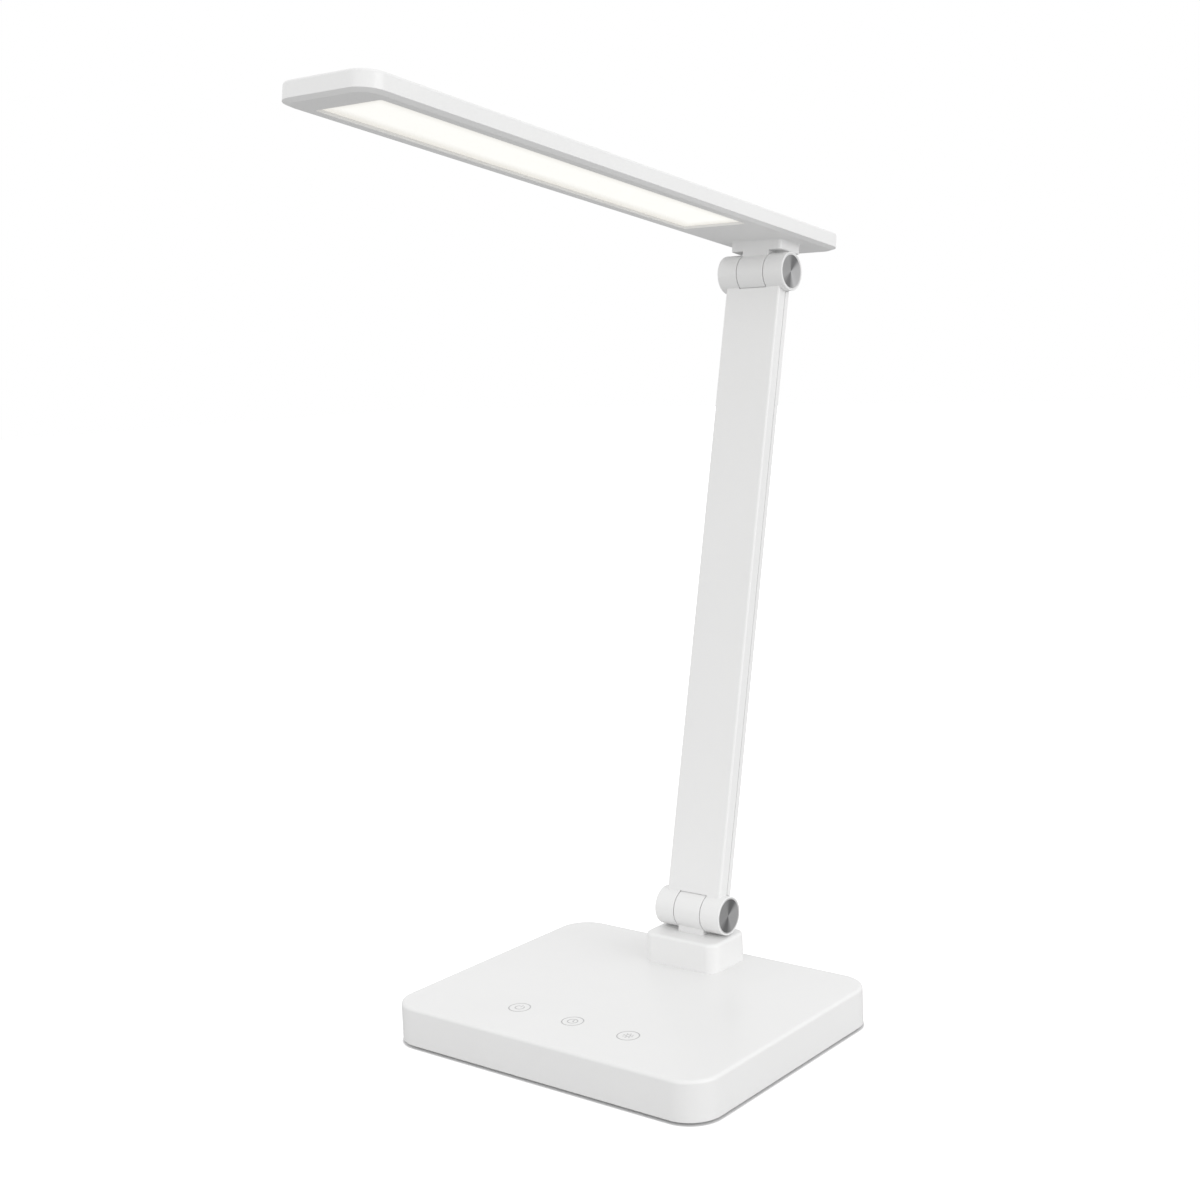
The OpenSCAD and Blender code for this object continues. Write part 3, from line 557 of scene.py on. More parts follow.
@dataclass(frozen=True)
class TurnedFinishPaintedSheen(Finish):
    """A metal face turned on a lathe, its reflection painted into the colour: two dark wedges of painted
    reflection fan out from its middle over a painted lit half and a painted shaded half, in a bright rim.
    """

    # Colour of the dark wedges, which are a painted reflection of the turned face, and how that painted pattern
    # turns and blends.
    painted_dark_wedge: Colour = (0.18, 0.18, 0.182)
    painted_wedge_turn: float = 0.04
    painted_wedge_edges: Pair = (0.36, 1.0)
    # Softness of the step between the painted shaded half and the painted lit half.
    lit_half_edge: float = 0.4
    # Radial streaks of painted highlight along the edges of the painted wedges.
    highlight_streak_scale: float = 5.5
    highlight_streak_share: float = 0.4
    rim: Colour = (0.8, 0.8, 0.8)
    rim_from: float = 0.95
    anisotropic: float = 0.6
    rings: float = 90.0

    def inputs(self, sheet: Sheet) -> dict[str, object]:
        """What the shader gets, from the piece's turning map.

        Args:
            sheet: The material's nodes. The map's X goes round the axis, and Y from middle to rim.

        Returns:
            The shader's inputs by name, with underscores for spaces.
        """
        part = sheet.parts(sheet.coords["UV"])
        lines = sheet.noise(self.rings, 6.0, 0.8, sheet.vector(part["Y"]))
        angle = sheet.sum("MULTIPLY", sheet.sum("ADD", part["X"], self.painted_wedge_turn), math.tau)
        across = sheet.sum("COSINE", angle)
        fan = sheet.vector(across, sheet.sum("SINE", angle))
        # Painted highlight streaks widen and narrow the painted dark wedges.
        highlight_streaks = sheet.noise(self.highlight_streak_scale, 5.0, 0.75, fan)
        side = sheet.sum("ADD", sheet.sum("ABSOLUTE", across),
                         sheet.sum("MULTIPLY", highlight_streaks, self.highlight_streak_share))
        # Painted light: one half of the face takes the darker colour and the other half the lighter drift, as if
        # lit from one side.
        lit_halves = sheet.step(across, -self.lit_half_edge, self.lit_half_edge)
        tone = sheet.blend(lit_halves, self.colour, self.drift)
        # The dark wedges are a painted reflection laid over the painted lit and shaded halves.
        painted_reflection = sheet.blend(sheet.step(side, *self.painted_wedge_edges), self.painted_dark_wedge, tone)
        edge = sheet.sum("GREATER_THAN", part["Y"], self.rim_from)
        tangent = sheet.node("Tangent", direction_type="UV_MAP", uv_map="UVMap")
        return {
            "Base_Color": sheet.blend(edge, painted_reflection, self.rim),
            "Roughness": sheet.span(lines, *self.rough),
            "Normal": sheet.bump(lines, self.grain_depth),
            "Metallic": 1.0,
            "Anisotropic": self.anisotropic,
            "Tangent": tangent.outputs["Tangent"],
        }


@dataclass(frozen=True)
class GlowFinish(Finish):
    """An opal sheet lit from its two long edges, which dims a little beside its frame."""

    glow: Colour = (1.0, 0.99, 0.94)
    edge_glow: Colour = (0.74, 0.71, 0.64)
    strength: float = 0.7
    edge: Pair = (0.27, 0.035)

    def inputs(self, sheet: Sheet) -> dict[str, object]:
        """What the shader gets, from the sheet's own map.

        Args:
            sheet: The material's nodes. The map goes from 0 to 1 across the window and along it.

        Returns:
            The shader's inputs by name, with underscores for spaces.
        """
        part = sheet.parts(sheet.coords["UV"])
        fades = []
        for axis, reach in zip("XY", self.edge):
            away = sheet.sum("ABSOLUTE", sheet.sum("SUBTRACT", part[axis], 0.5))
            fades.append(sheet.step(away, 0.5 - reach, 0.5))
        return {
            "Base_Color": self.tint(sheet, 2.0),
            "Roughness": sheet.span(sheet.noise(self.patch_scale * 5), *self.rough),
            "Normal": self.grain(sheet),
            "Emission_Color": sheet.blend(sheet.sum("MAXIMUM", *fades), self.glow, self.edge_glow),
            "Emission_Strength": self.strength,
        }


FINISHES: dict[str, Finish] = {
    f.slot: f
    for f in (
        Finish("white_satin_plastic", "white_satin", (0.835, 0.835, 0.832), (0.82, 0.82, 0.817),
               rough=(0.30, 0.37), coat=0.1, grain_scale=1400.0, grain_depth=0.0012),
        Finish("grey_matte_plastic", "grey_matte", (0.075, 0.075, 0.078), (0.06, 0.06, 0.063),
               rough=(0.5, 0.62), grain_depth=0.02, grain_scale=1500.0),
        Finish("black_rubber", "rubber", (0.022, 0.022, 0.024), (0.03, 0.03, 0.031),
               rough=(0.62, 0.78), grain_depth=0.02, grain_scale=1800.0, specular=0.35),
        BrushedFinish("zinc_screw_steel", "zinc_screw", (0.48, 0.49, 0.5), (0.42, 0.43, 0.45),
                      rough=(0.24, 0.38), grain_scale=700.0, grain_depth=0.003),
        BrushedFinish("rolled_steel", "zinc_steel", (0.47, 0.48, 0.49), (0.4, 0.41, 0.43),
                      rough=(0.28, 0.44), grain_scale=420.0),
        Finish("green_circuit_board", "circuit_board", (0.015, 0.11, 0.05), (0.012, 0.085, 0.04),
               rough=(0.25, 0.4), grain_scale=900.0, grain_depth=0.01, coat=0.3),
        Finish("black_moulded_plastic", "black_plastic", (0.018, 0.018, 0.02),
               (0.026, 0.026, 0.028), rough=(0.36, 0.5), grain_depth=0.01),
        BrushedFinish("turned_brass", "brass", (0.62, 0.42, 0.16), (0.53, 0.36, 0.14),
                      rough=(0.22, 0.36), grain_scale=500.0, grain_depth=0.003),
        # The cap's colour and drift are its painted shaded half and its painted lit half; its dark wedges are a
        # painted reflection.
        TurnedFinishPaintedSheen("turned_cap_metal", "turned_metal", (0.41, 0.41, 0.413), (0.53, 0.53, 0.535),
                     rough=(0.26, 0.36), grain_depth=0.002),
        GlowFinish("opal_diffuser", "diffuser", (0.46, 0.46, 0.455), (0.45, 0.45, 0.445),
                   rough=(0.34, 0.42), grain_depth=0.001),
        Finish("clear_light_guide", "clear_acrylic", (0.93, 0.95, 0.96), (0.9, 0.93, 0.95),
               rough=(0.04, 0.09), transmission=0.9, grain_depth=0.001),
        Finish("white_reflector", "white_sheet", (0.88, 0.88, 0.88), (0.85, 0.85, 0.85),
               rough=(0.45, 0.6)),
        Finish("white_circuit_board", "white_board", (0.8, 0.8, 0.78), (0.75, 0.75, 0.73),
               rough=(0.3, 0.42), coat=0.2),
        Finish("amber_emitter", "emitter", (0.85, 0.6, 0.12), (0.8, 0.5, 0.08), rough=(0.1, 0.2)),
        BrushedFinish("plain_aluminium", "plain_aluminium", (0.6, 0.61, 0.62), (0.54, 0.55, 0.56),
                      rough=(0.3, 0.45), grain_scale=380.0),
        Finish("grey_print", "print", (0.55, 0.55, 0.55), (0.52, 0.52, 0.52), rough=(0.42, 0.5),
               grain_depth=0.001),
    )
}


class Wardrobe:
    """Makes each finish once and dresses pieces in it."""

    def __init__(self) -> None:
        """Starts with no material made."""
        self.made: dict[str, bpy.types.Material] = {}

    def material(self, slot: str) -> bpy.types.Material:
        """The material of a slot."""
        if slot not in self.made:
            self.made[slot] = FINISHES[slot].make()
        return self.made[slot]

    def dress(self, obj: Piece, slot: str, body: Body, replaces: Sequence[str]) -> None:
        """Gives a new piece its finish and its place in the frame.

        Args:
            obj: The piece.
            slot: The finish's slot.
            body: The body that the piece moves with.
            replaces: The frame's nodes that it stands for.
        """
        obj.data.materials.clear()
        obj.data.materials.append(self.material(slot))
        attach(obj, body.value)
        if replaces:
            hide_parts(*replaces)
        LOG.info("%s: %d faces on the %s", obj.name, len(obj.data.polygons), body.value)

    def dress_frame(self) -> None:
        """Gives every node that is still shown the finish of its slot."""
        for row in frame["record"]["subparts"]:
            node = frame["nodes"][row["node"]]
            if not node.hide_render:
                for holder in node.material_slots:
                    holder.material = self.material(row["material_slot"])
                LOG.info("%s keeps its own mesh", node.name)


# ---------------------------------------------------------------- repeated pieces


class Tree(Nodes):
    """A geometry node tree with named inputs."""

    prefix = "GeometryNode"

    def __init__(self, name: str) -> None:
        """Starts a tree with its input and output."""
        super().__init__(bpy.data.node_groups.new(name, "GeometryNodeTree"))
        for way in ("OUTPUT", "INPUT"):
            self.tree.interface.new_socket(
                "Geometry", in_out=way, socket_type="NodeSocketGeometry")
        self.source = self.node("NodeGroupInput")
        self.sink = self.node("NodeGroupOutput")

    def sizes(self, *names: str, kind: str = "Float") -> list[Socket]:
        """Adds named inputs and returns their sockets."""
        for name in names:
            self.tree.interface.new_socket(name, in_out="INPUT", socket_type="NodeSocket" + kind)
        return [self.source.outputs[name] for name in names]

    def shifted(self, mesh: bpy.types.Node, *by: object, **values: object) -> Socket:
        """A mesh node's result, moved by X, Y and Z."""
        return self.node("Transform", Geometry=mesh.outputs["Mesh"],
                         Translation=self.vector(*by), **values).outputs[0]

    def mixed(self, action: Action, *meshes: Socket, start: Socket | None = None) -> Socket:
        """Joins meshes, or takes them away from a first one.

        Args:
            action: Whether they are added or removed.
            meshes: The meshes.
            start: What they are removed from.

        Returns:
            The mesh.
        """
        made = self.node("MeshBoolean", operation=action.value, solver="EXACT")
        if start is not None:
            self.feed(made.inputs["Mesh 1"], start)
        for mesh in meshes:
            self.feed(made.inputs["Mesh 2"], mesh)
        return made.outputs["Mesh"]

    def on_points(self, mesh: Socket, **values: object) -> Socket:
        """A mesh on each of the points."""
        return self.node("InstanceOnPoints", Points=self.source.outputs["Geometry"],
                         Instance=mesh, **values).outputs[0]

    def finish(self, geometry: Socket) -> None:
        """Ends the tree in real geometry with its material."""
        material, = self.sizes("Material", kind="Material")
        real = self.node("RealizeInstances", Geometry=geometry)
        dressed = self.node("SetMaterial", Geometry=real.outputs[0], Material=material)
        self.feed(self.sink.inputs[0], dressed.outputs[0])

    def run(self, name: str, points: Iterable[Vector], place: Matrix, **values: object) -> Piece:
        """Runs the tree on a row of points.

        Args:
            name: The new object's name.
            points: Points in millimetres in the piece's own frame.
            place: Where the result goes, in millimetres.
            values: The tree's inputs by name, with underscores for spaces, in metres.

        Returns:
            A plain mesh object at the origin.
        """
        mesh = bpy.data.meshes.new(name)
        mesh.from_pydata([point * MM for point in points], [], [])
        obj = link(name, mesh)
        change = obj.modifiers.new(self.tree.name, "NODES")
        change.node_group = self.tree
        for item in self.tree.interface.items_tree:
            key = item.name.replace(" ", "_")
            if item.in_out == "INPUT" and key in values:
                change[item.identifier] = values[key]
        settle(obj)
        obj.data.transform(metres(place))
        return obj


class ScrewTree(Tree):
    """Countersunk screws with a cross recess, one on each point, heads up along Z."""

    def __init__(self) -> None:
        """Builds the tree."""
        super().__init__("cross_head_screws")
        head, shank, length, width, reach, deep = self.sizes(
            "Head Radius", "Shank Radius", "Length", "Recess Width", "Recess Reach",
            "Recess Depth")
        seed, = self.sizes("Seed", kind="Int")
        sink = self.sum("SUBTRACT", head, shank)
        cone = self.node("MeshCone", Vertices=SINK_STEPS, Side_Segments=1, Radius_Top=head,
                         Radius_Bottom=shank, Depth=sink)
        cone_up = self.shifted(cone, 0.0, 0.0, self.sum("MULTIPLY", sink, -1.0))
        stem_long = self.sum("SUBTRACT", length, sink)
        stem = self.node("MeshCylinder", Vertices=32, Radius=shank, Depth=stem_long)
        stem_low = self.sum("SUBTRACT", self.sum("MULTIPLY", stem_long, -0.5),
                            self.sum("MULTIPLY", sink, 0.98))
        stem_down = self.shifted(stem, 0.0, 0.0, stem_low)
        slots = []
        for x, y in ((reach, width), (width, reach)):
            size = self.vector(x, y, self.sum("MULTIPLY", deep, 2.0))
            slots.append(self.node("MeshCube", Size=size).outputs["Mesh"])
        cross = self.mixed(Action.ADD, *slots)
        body = self.mixed(Action.ADD, cone_up, stem_down)
        screw = self.mixed(Action.REMOVE, cross, start=body)
        turn = self.node("FunctionNodeRandomValue", data_type="FLOAT", Max=math.pi, Seed=seed)
        self.finish(self.on_points(screw, Rotation=self.vector(z=turn.outputs[1])))


class RingTree(Tree):
    """Thin flat rings, one on each point."""

    def __init__(self) -> None:
        """Builds the tree."""
        super().__init__("key_rings")
        radius, width, height = self.sizes("Radius", "Line Width", "Height")
        path = self.node("CurvePrimitiveCircle", Resolution=96, Radius=radius)
        line = self.node("CurvePrimitiveQuadrilateral", Width=width, Height=height)
        tube = self.node("CurveToMesh", Curve=path.outputs["Curve"],
                         Profile_Curve=line.outputs["Curve"])
        self.finish(self.on_points(tube.outputs["Mesh"]))


class CapTree(Tree):
    """A turned metal disc whose face follows a shallow cone with fine grooves."""

    segments: ClassVar[int] = 96
    rows: ClassVar[int] = 64
    weld: ClassVar[float] = 0.02 * MM

    def __init__(self) -> None:
        """Builds the tree: a grid wrapped round the X axis, its rows along the disc's section."""
        super().__init__("turned_cap")
        radius, thick, rim, dish, groove, count = self.sizes(
            "Radius", "Thickness", "Rim Width", "Dish Depth", "Groove Depth", "Groove Count")
        grid = self.node("MeshGrid", Size_X=1.0, Size_Y=1.0, Vertices_X=self.segments + 1,
                         Vertices_Y=self.rows + 1)
        part = self.parts(self.node("InputPosition").outputs[0])
        around = self.sum("MULTIPLY", self.sum("ADD", part["X"], 0.5), math.tau)
        share = self.sum("ADD", part["Y"], 0.5)
        far = self.sum("MULTIPLY", share, radius)
        cone_share = self.sum("DIVIDE", far, self.sum("SUBTRACT", radius, rim))
        inward = self.sum("MAXIMUM", self.sum("SUBTRACT", 1.0, cone_share), 0.0)
        grooves = self.sum("MULTIPLY", self.sum("MULTIPLY", share, count), math.tau)
        wave = self.sum("MULTIPLY", self.sum("SINE", grooves), groove)
        cut = self.sum("MULTIPLY", wave, self.sum("GREATER_THAN", inward, 0.0))
        cone_x = self.sum("SUBTRACT", thick, self.sum("MULTIPLY", inward, dish))
        spot = self.vector(self.sum("SUBTRACT", cone_x, cut),
                           self.sum("MULTIPLY", far, self.sum("COSINE", around)),
                           self.sum("MULTIPLY", far, self.sum("SINE", around)))
        stored = self.node("StoreNamedAttribute", data_type="FLOAT2", domain="CORNER",
                           Geometry=grid.outputs["Mesh"], Name="UVMap",
                           Value=grid.outputs["UV Map"])
        face = self.node("SetPosition", Geometry=stored.outputs[0], Position=spot)
        side = self.node("MeshCylinder", fill_type="NGON", Vertices=self.segments, Radius=radius,
                         Depth=self.sum("MULTIPLY", thick, 0.999))
        rear = self.shifted(side, self.sum("MULTIPLY", thick, 0.4995), Rotation=(0.0, QUARTER, 0.0))
        out = self.parts(self.node("InputNormal").outputs[0])["X"]
        open_rear = self.node("DeleteGeometry", domain="FACE", Geometry=rear,
                              Selection=self.sum("GREATER_THAN", out, 0.9))
        both = self.node("JoinGeometry")
        for made in (face, open_rear):
            self.feed(both.inputs["Geometry"], made.outputs[0])
        closed = self.node("MergeByDistance", Geometry=both.outputs[0], Distance=self.weld)
        self.finish(closed.outputs[0])


SCREWS, RINGS, CAPS = ScrewTree(), RingTree(), CapTree()
SCREW_SIZES = {
    "Head_Radius": 2.3 * MM,
    "Shank_Radius": 1.25 * MM,
    "Recess_Width": 0.6 * MM,
    "Recess_Reach": 2.8 * MM,
    "Recess_Depth": 0.6 * MM,
}


# ---------------------------------------------------------------- the lamp


class Places:
    """Where the lamp's moving parts stand at rest, in millimetres."""

    def __init__(self, head_tilt_deg: float = 9.0) -> None:
        """Reads both hinge axes from the frame.

        Args:
            head_tilt_deg: How far the head's front end is raised.
        """
        spots = {j["name"]: Vector(j["pos_m"]) / MM for j in frame["joints"]}
        lower, upper = spots["arm_fold"], spots["head_tilt"]
        reach = upper - lower
        self.arm_length = reach.length
        self.lower = Matrix.Translation(lower)
        self.arm = self.lower @ Matrix.Rotation(-math.atan2(reach.y, reach.z), 4, "X")
        self.arm_top = self.arm @ Matrix.Translation((0, 0, self.arm_length))
        tilt = Matrix.Rotation(math.radians(-head_tilt_deg), 4, "X")
        self.head = Matrix.Translation(upper) @ tilt


@dataclass
class Barrel:
    """A three-knuckle friction hinge: the shapes that its pieces share, along X."""

    radius: float = 8.5
    length: float = 34.0
    knuckle: float = 13.6
    gap: float = 0.3
    edge: float = 0.35
    rim_edge: float = 0.22
    bush: float = 4.25
    pin: float = 3.05
    web: float = 3.0
    pocket: float = 6.3
    tongue_round: float = 0.4
    tongue_slip: float = 0.02
    cap: float = 7.7
    cap_thick: float = 0.9
    cap_sink: float = 0.15
    cap_slip: float = 0.06
    cap_rim: float = 0.35
    cap_dish: float = 0.35
    cap_groove: float = 0.004
    cap_grooves: float = 12.0
    mouth: Pair = (0.12, 0.68)

    @property
    def ear_start(self) -> float:
        """Where an outer knuckle starts."""
        return self.knuckle / 2 + self.gap

    @property
    def cap_seat(self) -> float:
        """Where a cap's back lies."""
        return self.length / 2 - self.cap_sink - self.cap_thick

    def centre(self) -> list[tuple[Action, Shape]]:
        """The centre knuckle, and its bush's hole."""
        half = self.knuckle / 2
        return [(Action.ADD, Shape.bar(-half, half, self.radius, self.edge)),
                (Action.REMOVE, Shape.bar(-half - 1, half + 1, self.bush))]

    def tongue(self, depth: float, middle_y: float, low: float, high: float) -> Shape:
        """The tongue between a block and its centre knuckle."""
        plan = Plan(self.knuckle - self.tongue_slip, depth, self.tongue_round, middle_y)
        return Shape.loft(plan.rings([(0, low), (0, high)]))

    def ears(self) -> Shape:
        """Both outer knuckles without their bores."""
        start, end, e, q = self.ear_start, self.length / 2, self.edge, self.rim_edge
        profile = arc((start + e, self.radius - e), e, 180, 90)
        profile += arc((end - q, self.radius - q), q, 90, 0)
        return Shape.turned(profile).both_sides()

    def ear_bores(self) -> Shape:
        """What is taken out of both outer knuckles: pin hole, pocket and cap seat."""
        start, end, seat, inner = self.ear_start, self.length / 2, self.cap_seat, self.pocket
        wide = self.cap + self.cap_slip
        steps = [(start - 1, self.pin), (start + self.web, self.pin), (start + self.web, inner),
                 (seat, inner), (seat, wide), (end - self.mouth[0], wide),
                 (end + 0.5, self.cap + self.mouth[1])]
        return Shape.turned(steps).both_sides()

    def caps(self, arm: "Arm", place: Matrix, which: str) -> None:
        """Both turned discs of one barrel.

        Args:
            arm: The arm, which carries and dresses them.
            place: The barrel's place.
            which: "lower" or "upper".
        """
        seat = Matrix.Translation((self.cap_seat, 0, 0))
        for side, turn in (("right", 0.0), ("left", math.pi)):
            disc = CAPS.run(
                f"{which}_disc_{side}", [], place @ Matrix.Rotation(turn, 4, "Z") @ seat,
                Radius=self.cap * MM, Thickness=self.cap_thick * MM, Rim_Width=self.cap_rim * MM,
                Dish_Depth=self.cap_dish * MM, Groove_Depth=self.cap_groove * MM,
                Groove_Count=self.cap_grooves, Material=arm.wardrobe.material("turned_metal"))
            arm.dress(disc, "turned_metal", f"{which}_cap_{side}")


@dataclass
class Section:
    """A sub-assembly whose pieces all ride on one body."""

    body: ClassVar[Body] = Body.BASE
    wardrobe: Wardrobe

    def dress(self, obj: Piece, slot: str, *replaces: str) -> None:
        """Shades a piece and dresses it."""
        shade(obj)
        self.wardrobe.dress(obj, slot, self.body, replaces)

    def fasten(self, name: str, points: Iterable[Vector], place: Matrix, seed: int, length: float,
               replaces: str) -> None:
        """Makes and dresses one set of screws.

        Args:
            name: The set's name.
            points: Where their heads' faces are, in the set's own frame.
            place: The set's place, with Z out of the heads.
            seed: Seed of the turns of their recesses.
            length: Length of a screw.
            replaces: The frame's node that the set stands for.
        """
        piece = SCREWS.run(name, points, place, Material=self.wardrobe.material("zinc_screw"),
                           Seed=seed, Length=length * MM, **SCREW_SIZES)
        self.dress(piece, "zinc_screw", replaces)


@dataclass
class Base(Section):
    """Weighted base: housing, bottom cover, feet, cover screws and power inlet."""

    edge: float = 1.4
    wall: float = 2.2
    roof: float = 2.4
    radius: float = 14.0
    slip: float = 0.2
    cover_levels: Pair = (1.2, 2.5)
    screw_length: float = 9.3
    screw_in: Pair = (12.0, 27.0)
    sink: tuple[Pair, ...] = ((-1.0, 2.34), (0.0, 2.34), (1.1, 1.4), (3.0, 1.4))
    foot_radius: float = 7.0
    foot_edge: float = 0.4
    foot_sunk: float = 0.5
    foot_in: Pair = (15.0, 15.0)
    cup_radius: float = 3.2
    cup_depth: float = 0.3
    cup_hole: float = 0.02
    inlet_level: float = 9.0
    inlet_hole: float = 4.2
    inlet_half: Pair = (4.5, 4.3)
    inlet_length: float = 12.6
    mouth_radius: float = 2.85
    mouth_span: Pair = (-3.2, 1.0)
    chamber_step: float = 0.45
    chamber_span: Pair = (-9.2, -3.1)
    sleeve_steps: Pair = (0.4, 0.1)
    sleeve_span: Pair = (-9.1, -3.3)
    contact_span: Pair = (-9.2, -3.6)
    contact_radius: float = 1.05
    contact_edge: float = 0.5

    def __post_init__(self) -> None:
        """Reads the housing's outline from the frame."""
        low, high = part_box("base_housing")
        self.plan = Plan((high.x - low.x) / MM, (high.y - low.y) / MM, self.radius)
        self.rim, self.top = low.z / MM, high.z / MM

    def build(self) -> None:
        """Makes every piece of the base."""
        self.housing()
        self.cover()
        self.feet()
        down = Matrix.Translation((0, 0, self.cover_levels[0])) @ Matrix.Rotation(math.pi, 4, "X")
        self.fasten("cover_screw_set", self.spots(self.screw_in), down, 3, self.screw_length,
                    "cover_screws")
        self.inlet()

    def spots(self, inset: Pair, level: float = 0.0) -> list[Vector]:
        """Four spots, in from the base's sides."""
        x, y = self.plan.width / 2 - inset[0], self.plan.depth / 2 - inset[1]
        return [Vector((sx * x, sy * y, level)) for sx in (-1, 1) for sy in (-1, 1)]

    def inlet_place(self, y: float) -> Matrix:
        """A place on the inlet's line, with X out of the base's back."""
        return Matrix.Translation((0, y, self.inlet_level)) @ Matrix.Rotation(QUARTER, 4, "Z")

    def housing(self) -> None:
        """The moulded shell with its rounded top edge and the round opening for the plug."""
        e, q, wall, rim, top = self.edge, FINE_ROUND, self.wall, self.rim, self.top
        steps = [(e + 6, top), (e + FLAT_STRIP, top)]
        steps += arc((e, top - e), e, 90, 180, EDGE_STEPS)
        steps += arc((q, rim + q), q, 180, 270, FINE_STEPS)
        steps += [(wall - q, rim), (wall, rim + q), (wall, top - self.roof - 1),
                  (wall + 1, top - self.roof)]
        shell = Shape.loft(self.plan.rings(steps)).piece("base_shell")
        hole = Shape.bar(-wall - 2, 2, self.inlet_hole)
        lead_in = Shape.turned([(-0.5, self.inlet_hole), (0.5, self.inlet_hole + 1.0)])
        carve(shell, self.inlet_place(self.plan.depth / 2), (Action.REMOVE, hole),
              (Action.REMOVE, lead_in))
        self.dress(shell, "white_satin", "base_housing")

    def cover(self) -> None:
        """The bottom cover inside the housing's wall, with its screw holes."""
        (low, high), q, side = self.cover_levels, FINE_ROUND, self.wall + self.slip
        steps = [(side + 5, low), (side + q, low), (side, low + q), (side, high), (side + 5, high)]
        cover = Shape.loft(self.plan.rings(steps)).piece("base_cover")
        holes = Shape.turned(self.sink, Axis.Z, SINK_STEPS).at(*self.spots(self.screw_in, low))
        carve(cover, UNMOVED, (Action.REMOVE, holes))
        self.dress(cover, "grey_matte", "bottom_cover")

    def feet(self) -> None:
        """Four rubber feet with a rounded edge and a shallow cup."""
        high, r, cup = self.cover_levels[0] + self.foot_sunk, self.foot_radius, self.cup_radius
        e, deep, hole = self.foot_edge, self.cup_depth, self.cup_hole
        profile = [(high, e), (high, r)] + arc((e, r - e), e, 90, 180)
        profile += [(0.0, cup + deep), (deep / 2, cup + 0.1), (deep, cup), (deep, e)]
        core = [(deep, e), (high, e), (high, hole), (deep, hole)]
        foot = Shape.lathe(profile) + Shape.lathe(core)
        feet = foot.moved(Matrix.Rotation(-QUARTER, 4, "Y")).at(*self.spots(self.foot_in))
        self.dress(feet.piece("rubber_feet"), "rubber", "foot_pads")

    def inlet(self) -> None:
        """The power inlet: black body, sprung sleeve and centre contact."""
        place = self.inlet_place(self.plan.depth / 2 - self.wall - self.slip)
        (y, z), m = self.inlet_half, self.mouth_radius
        body = Shape.block((-self.inlet_length, -y, -z), (0, y, z)).piece("inlet_body", place)
        carve(body, place, (Action.REMOVE, Shape.bar(*self.mouth_span, m)),
              (Action.REMOVE, Shape.bar(*self.chamber_span, m + self.chamber_step)))
        self.dress(body, "black_plastic", "power_inlet")
        start, end = self.sleeve_span
        outer, inner = (m + step for step in self.sleeve_steps)
        sleeve = Shape.lathe([(start, outer), (end, outer), (end, inner), (start, inner)])
        self.dress(sleeve.piece("inlet_sleeve", place), "zinc_steel")
        contact = Shape.bar(*self.contact_span, self.contact_radius, self.contact_edge)
        self.dress(contact.piece("inlet_contact", place), "brass")


@dataclass
class TouchRow:
    """Three printed touch keys along the base's front edge."""

    wardrobe: Wardrobe
    top: float
    row_y: float = -39.6
    pitch: float = 28.3
    ring_radius: float = 4.5
    line: float = 0.5
    proud: float = 0.02
    circle_steps: int = 40
    power_radius: float = 1.9
    power_bar: Pair = (0.5, 2.4)
    mode_radius: float = 2.1
    long_hand: tuple[Pair, Pair] = ((0, 1.4), (0, 0.1))
    short_hand: tuple[Pair, Pair] = ((0.1, 0), (1.0, -0.55))
    sun_radius: float = 0.95
    rays: int = 8
    ray: Pair = (1.5, 2.35)

    def stroke(self, points: Sequence[Pair], closed: bool = False) -> Shape:
        """A flat printed line.

        Args:
            points: The line's middle.
            closed: True joins its ends.

        Returns:
            The line as a thin closed shape.
        """
        rings, n = [], len(points)
        for i, (x, y) in enumerate(points):
            before = points[(i - 1) % n] if closed or i else points[0]
            after = points[(i + 1) % n] if closed or i < n - 1 else points[-1]
            along = Vector((after[0] - before[0], after[1] - before[1])).normalized()
            side = Vector((-along.y, along.x)) * self.line / 2
            rings.append([Vector((x + s * side.x, y + s * side.y, z))
                          for s, z in ((1, 0), (1, self.proud), (-1, self.proud), (-1, 0))])
        return Shape.loft(rings, closed)

    def circle(self, radius: float, start: float = 0.0, end: float = 360.0) -> Shape:
        """A printed circle or a part of one."""
        whole = end - start >= 360
        points = arc((0, 0), radius, start, end, self.circle_steps)
        return self.stroke(points[:-1] if whole else points, whole)

    def power(self) -> Shape:
        """On and off: an open ring with a bar at its gap."""
        bar = self.stroke([(0, y) for y in self.power_bar])
        return self.circle(self.power_radius, 120, 420) + bar

    def mode(self) -> Shape:
        """Light colour: a ring with two hands."""
        hands = self.stroke(self.long_hand) + self.stroke(self.short_hand)
        return self.circle(self.mode_radius) + hands

    def brightness(self) -> Shape:
        """Brightness: a small ring with rays."""
        sun = self.circle(self.sun_radius)
        for i in range(self.rays):
            a = math.tau * i / self.rays
            sun = sun + self.stroke([(r * math.cos(a), r * math.sin(a)) for r in self.ray])
        return sun

    def build(self) -> None:
        """Makes the rings and the symbols."""
        spots = [Vector((n * self.pitch, self.row_y, self.top)) for n in (-1, 0, 1)]
        lift = Vector((0, 0, self.proud / 2))
        rings = RINGS.run("key_ring_print", [spot + lift for spot in spots], UNMOVED,
                          Material=self.wardrobe.material("print"), Height=self.proud * MM,
                          Radius=self.ring_radius * MM, Line_Width=self.line * MM)
        marks = Shape()
        for spot, symbol in zip(spots, (self.power(), self.mode(), self.brightness())):
            marks = marks + symbol.at(spot)
        for piece in (rings, marks.piece("key_symbol_print")):
            self.wardrobe.dress(piece, "print", Body.BASE, ())


@dataclass
class Jointed(Section):
    """A sub-assembly that holds a part of a hinge."""

    places: Places
    barrel: Barrel


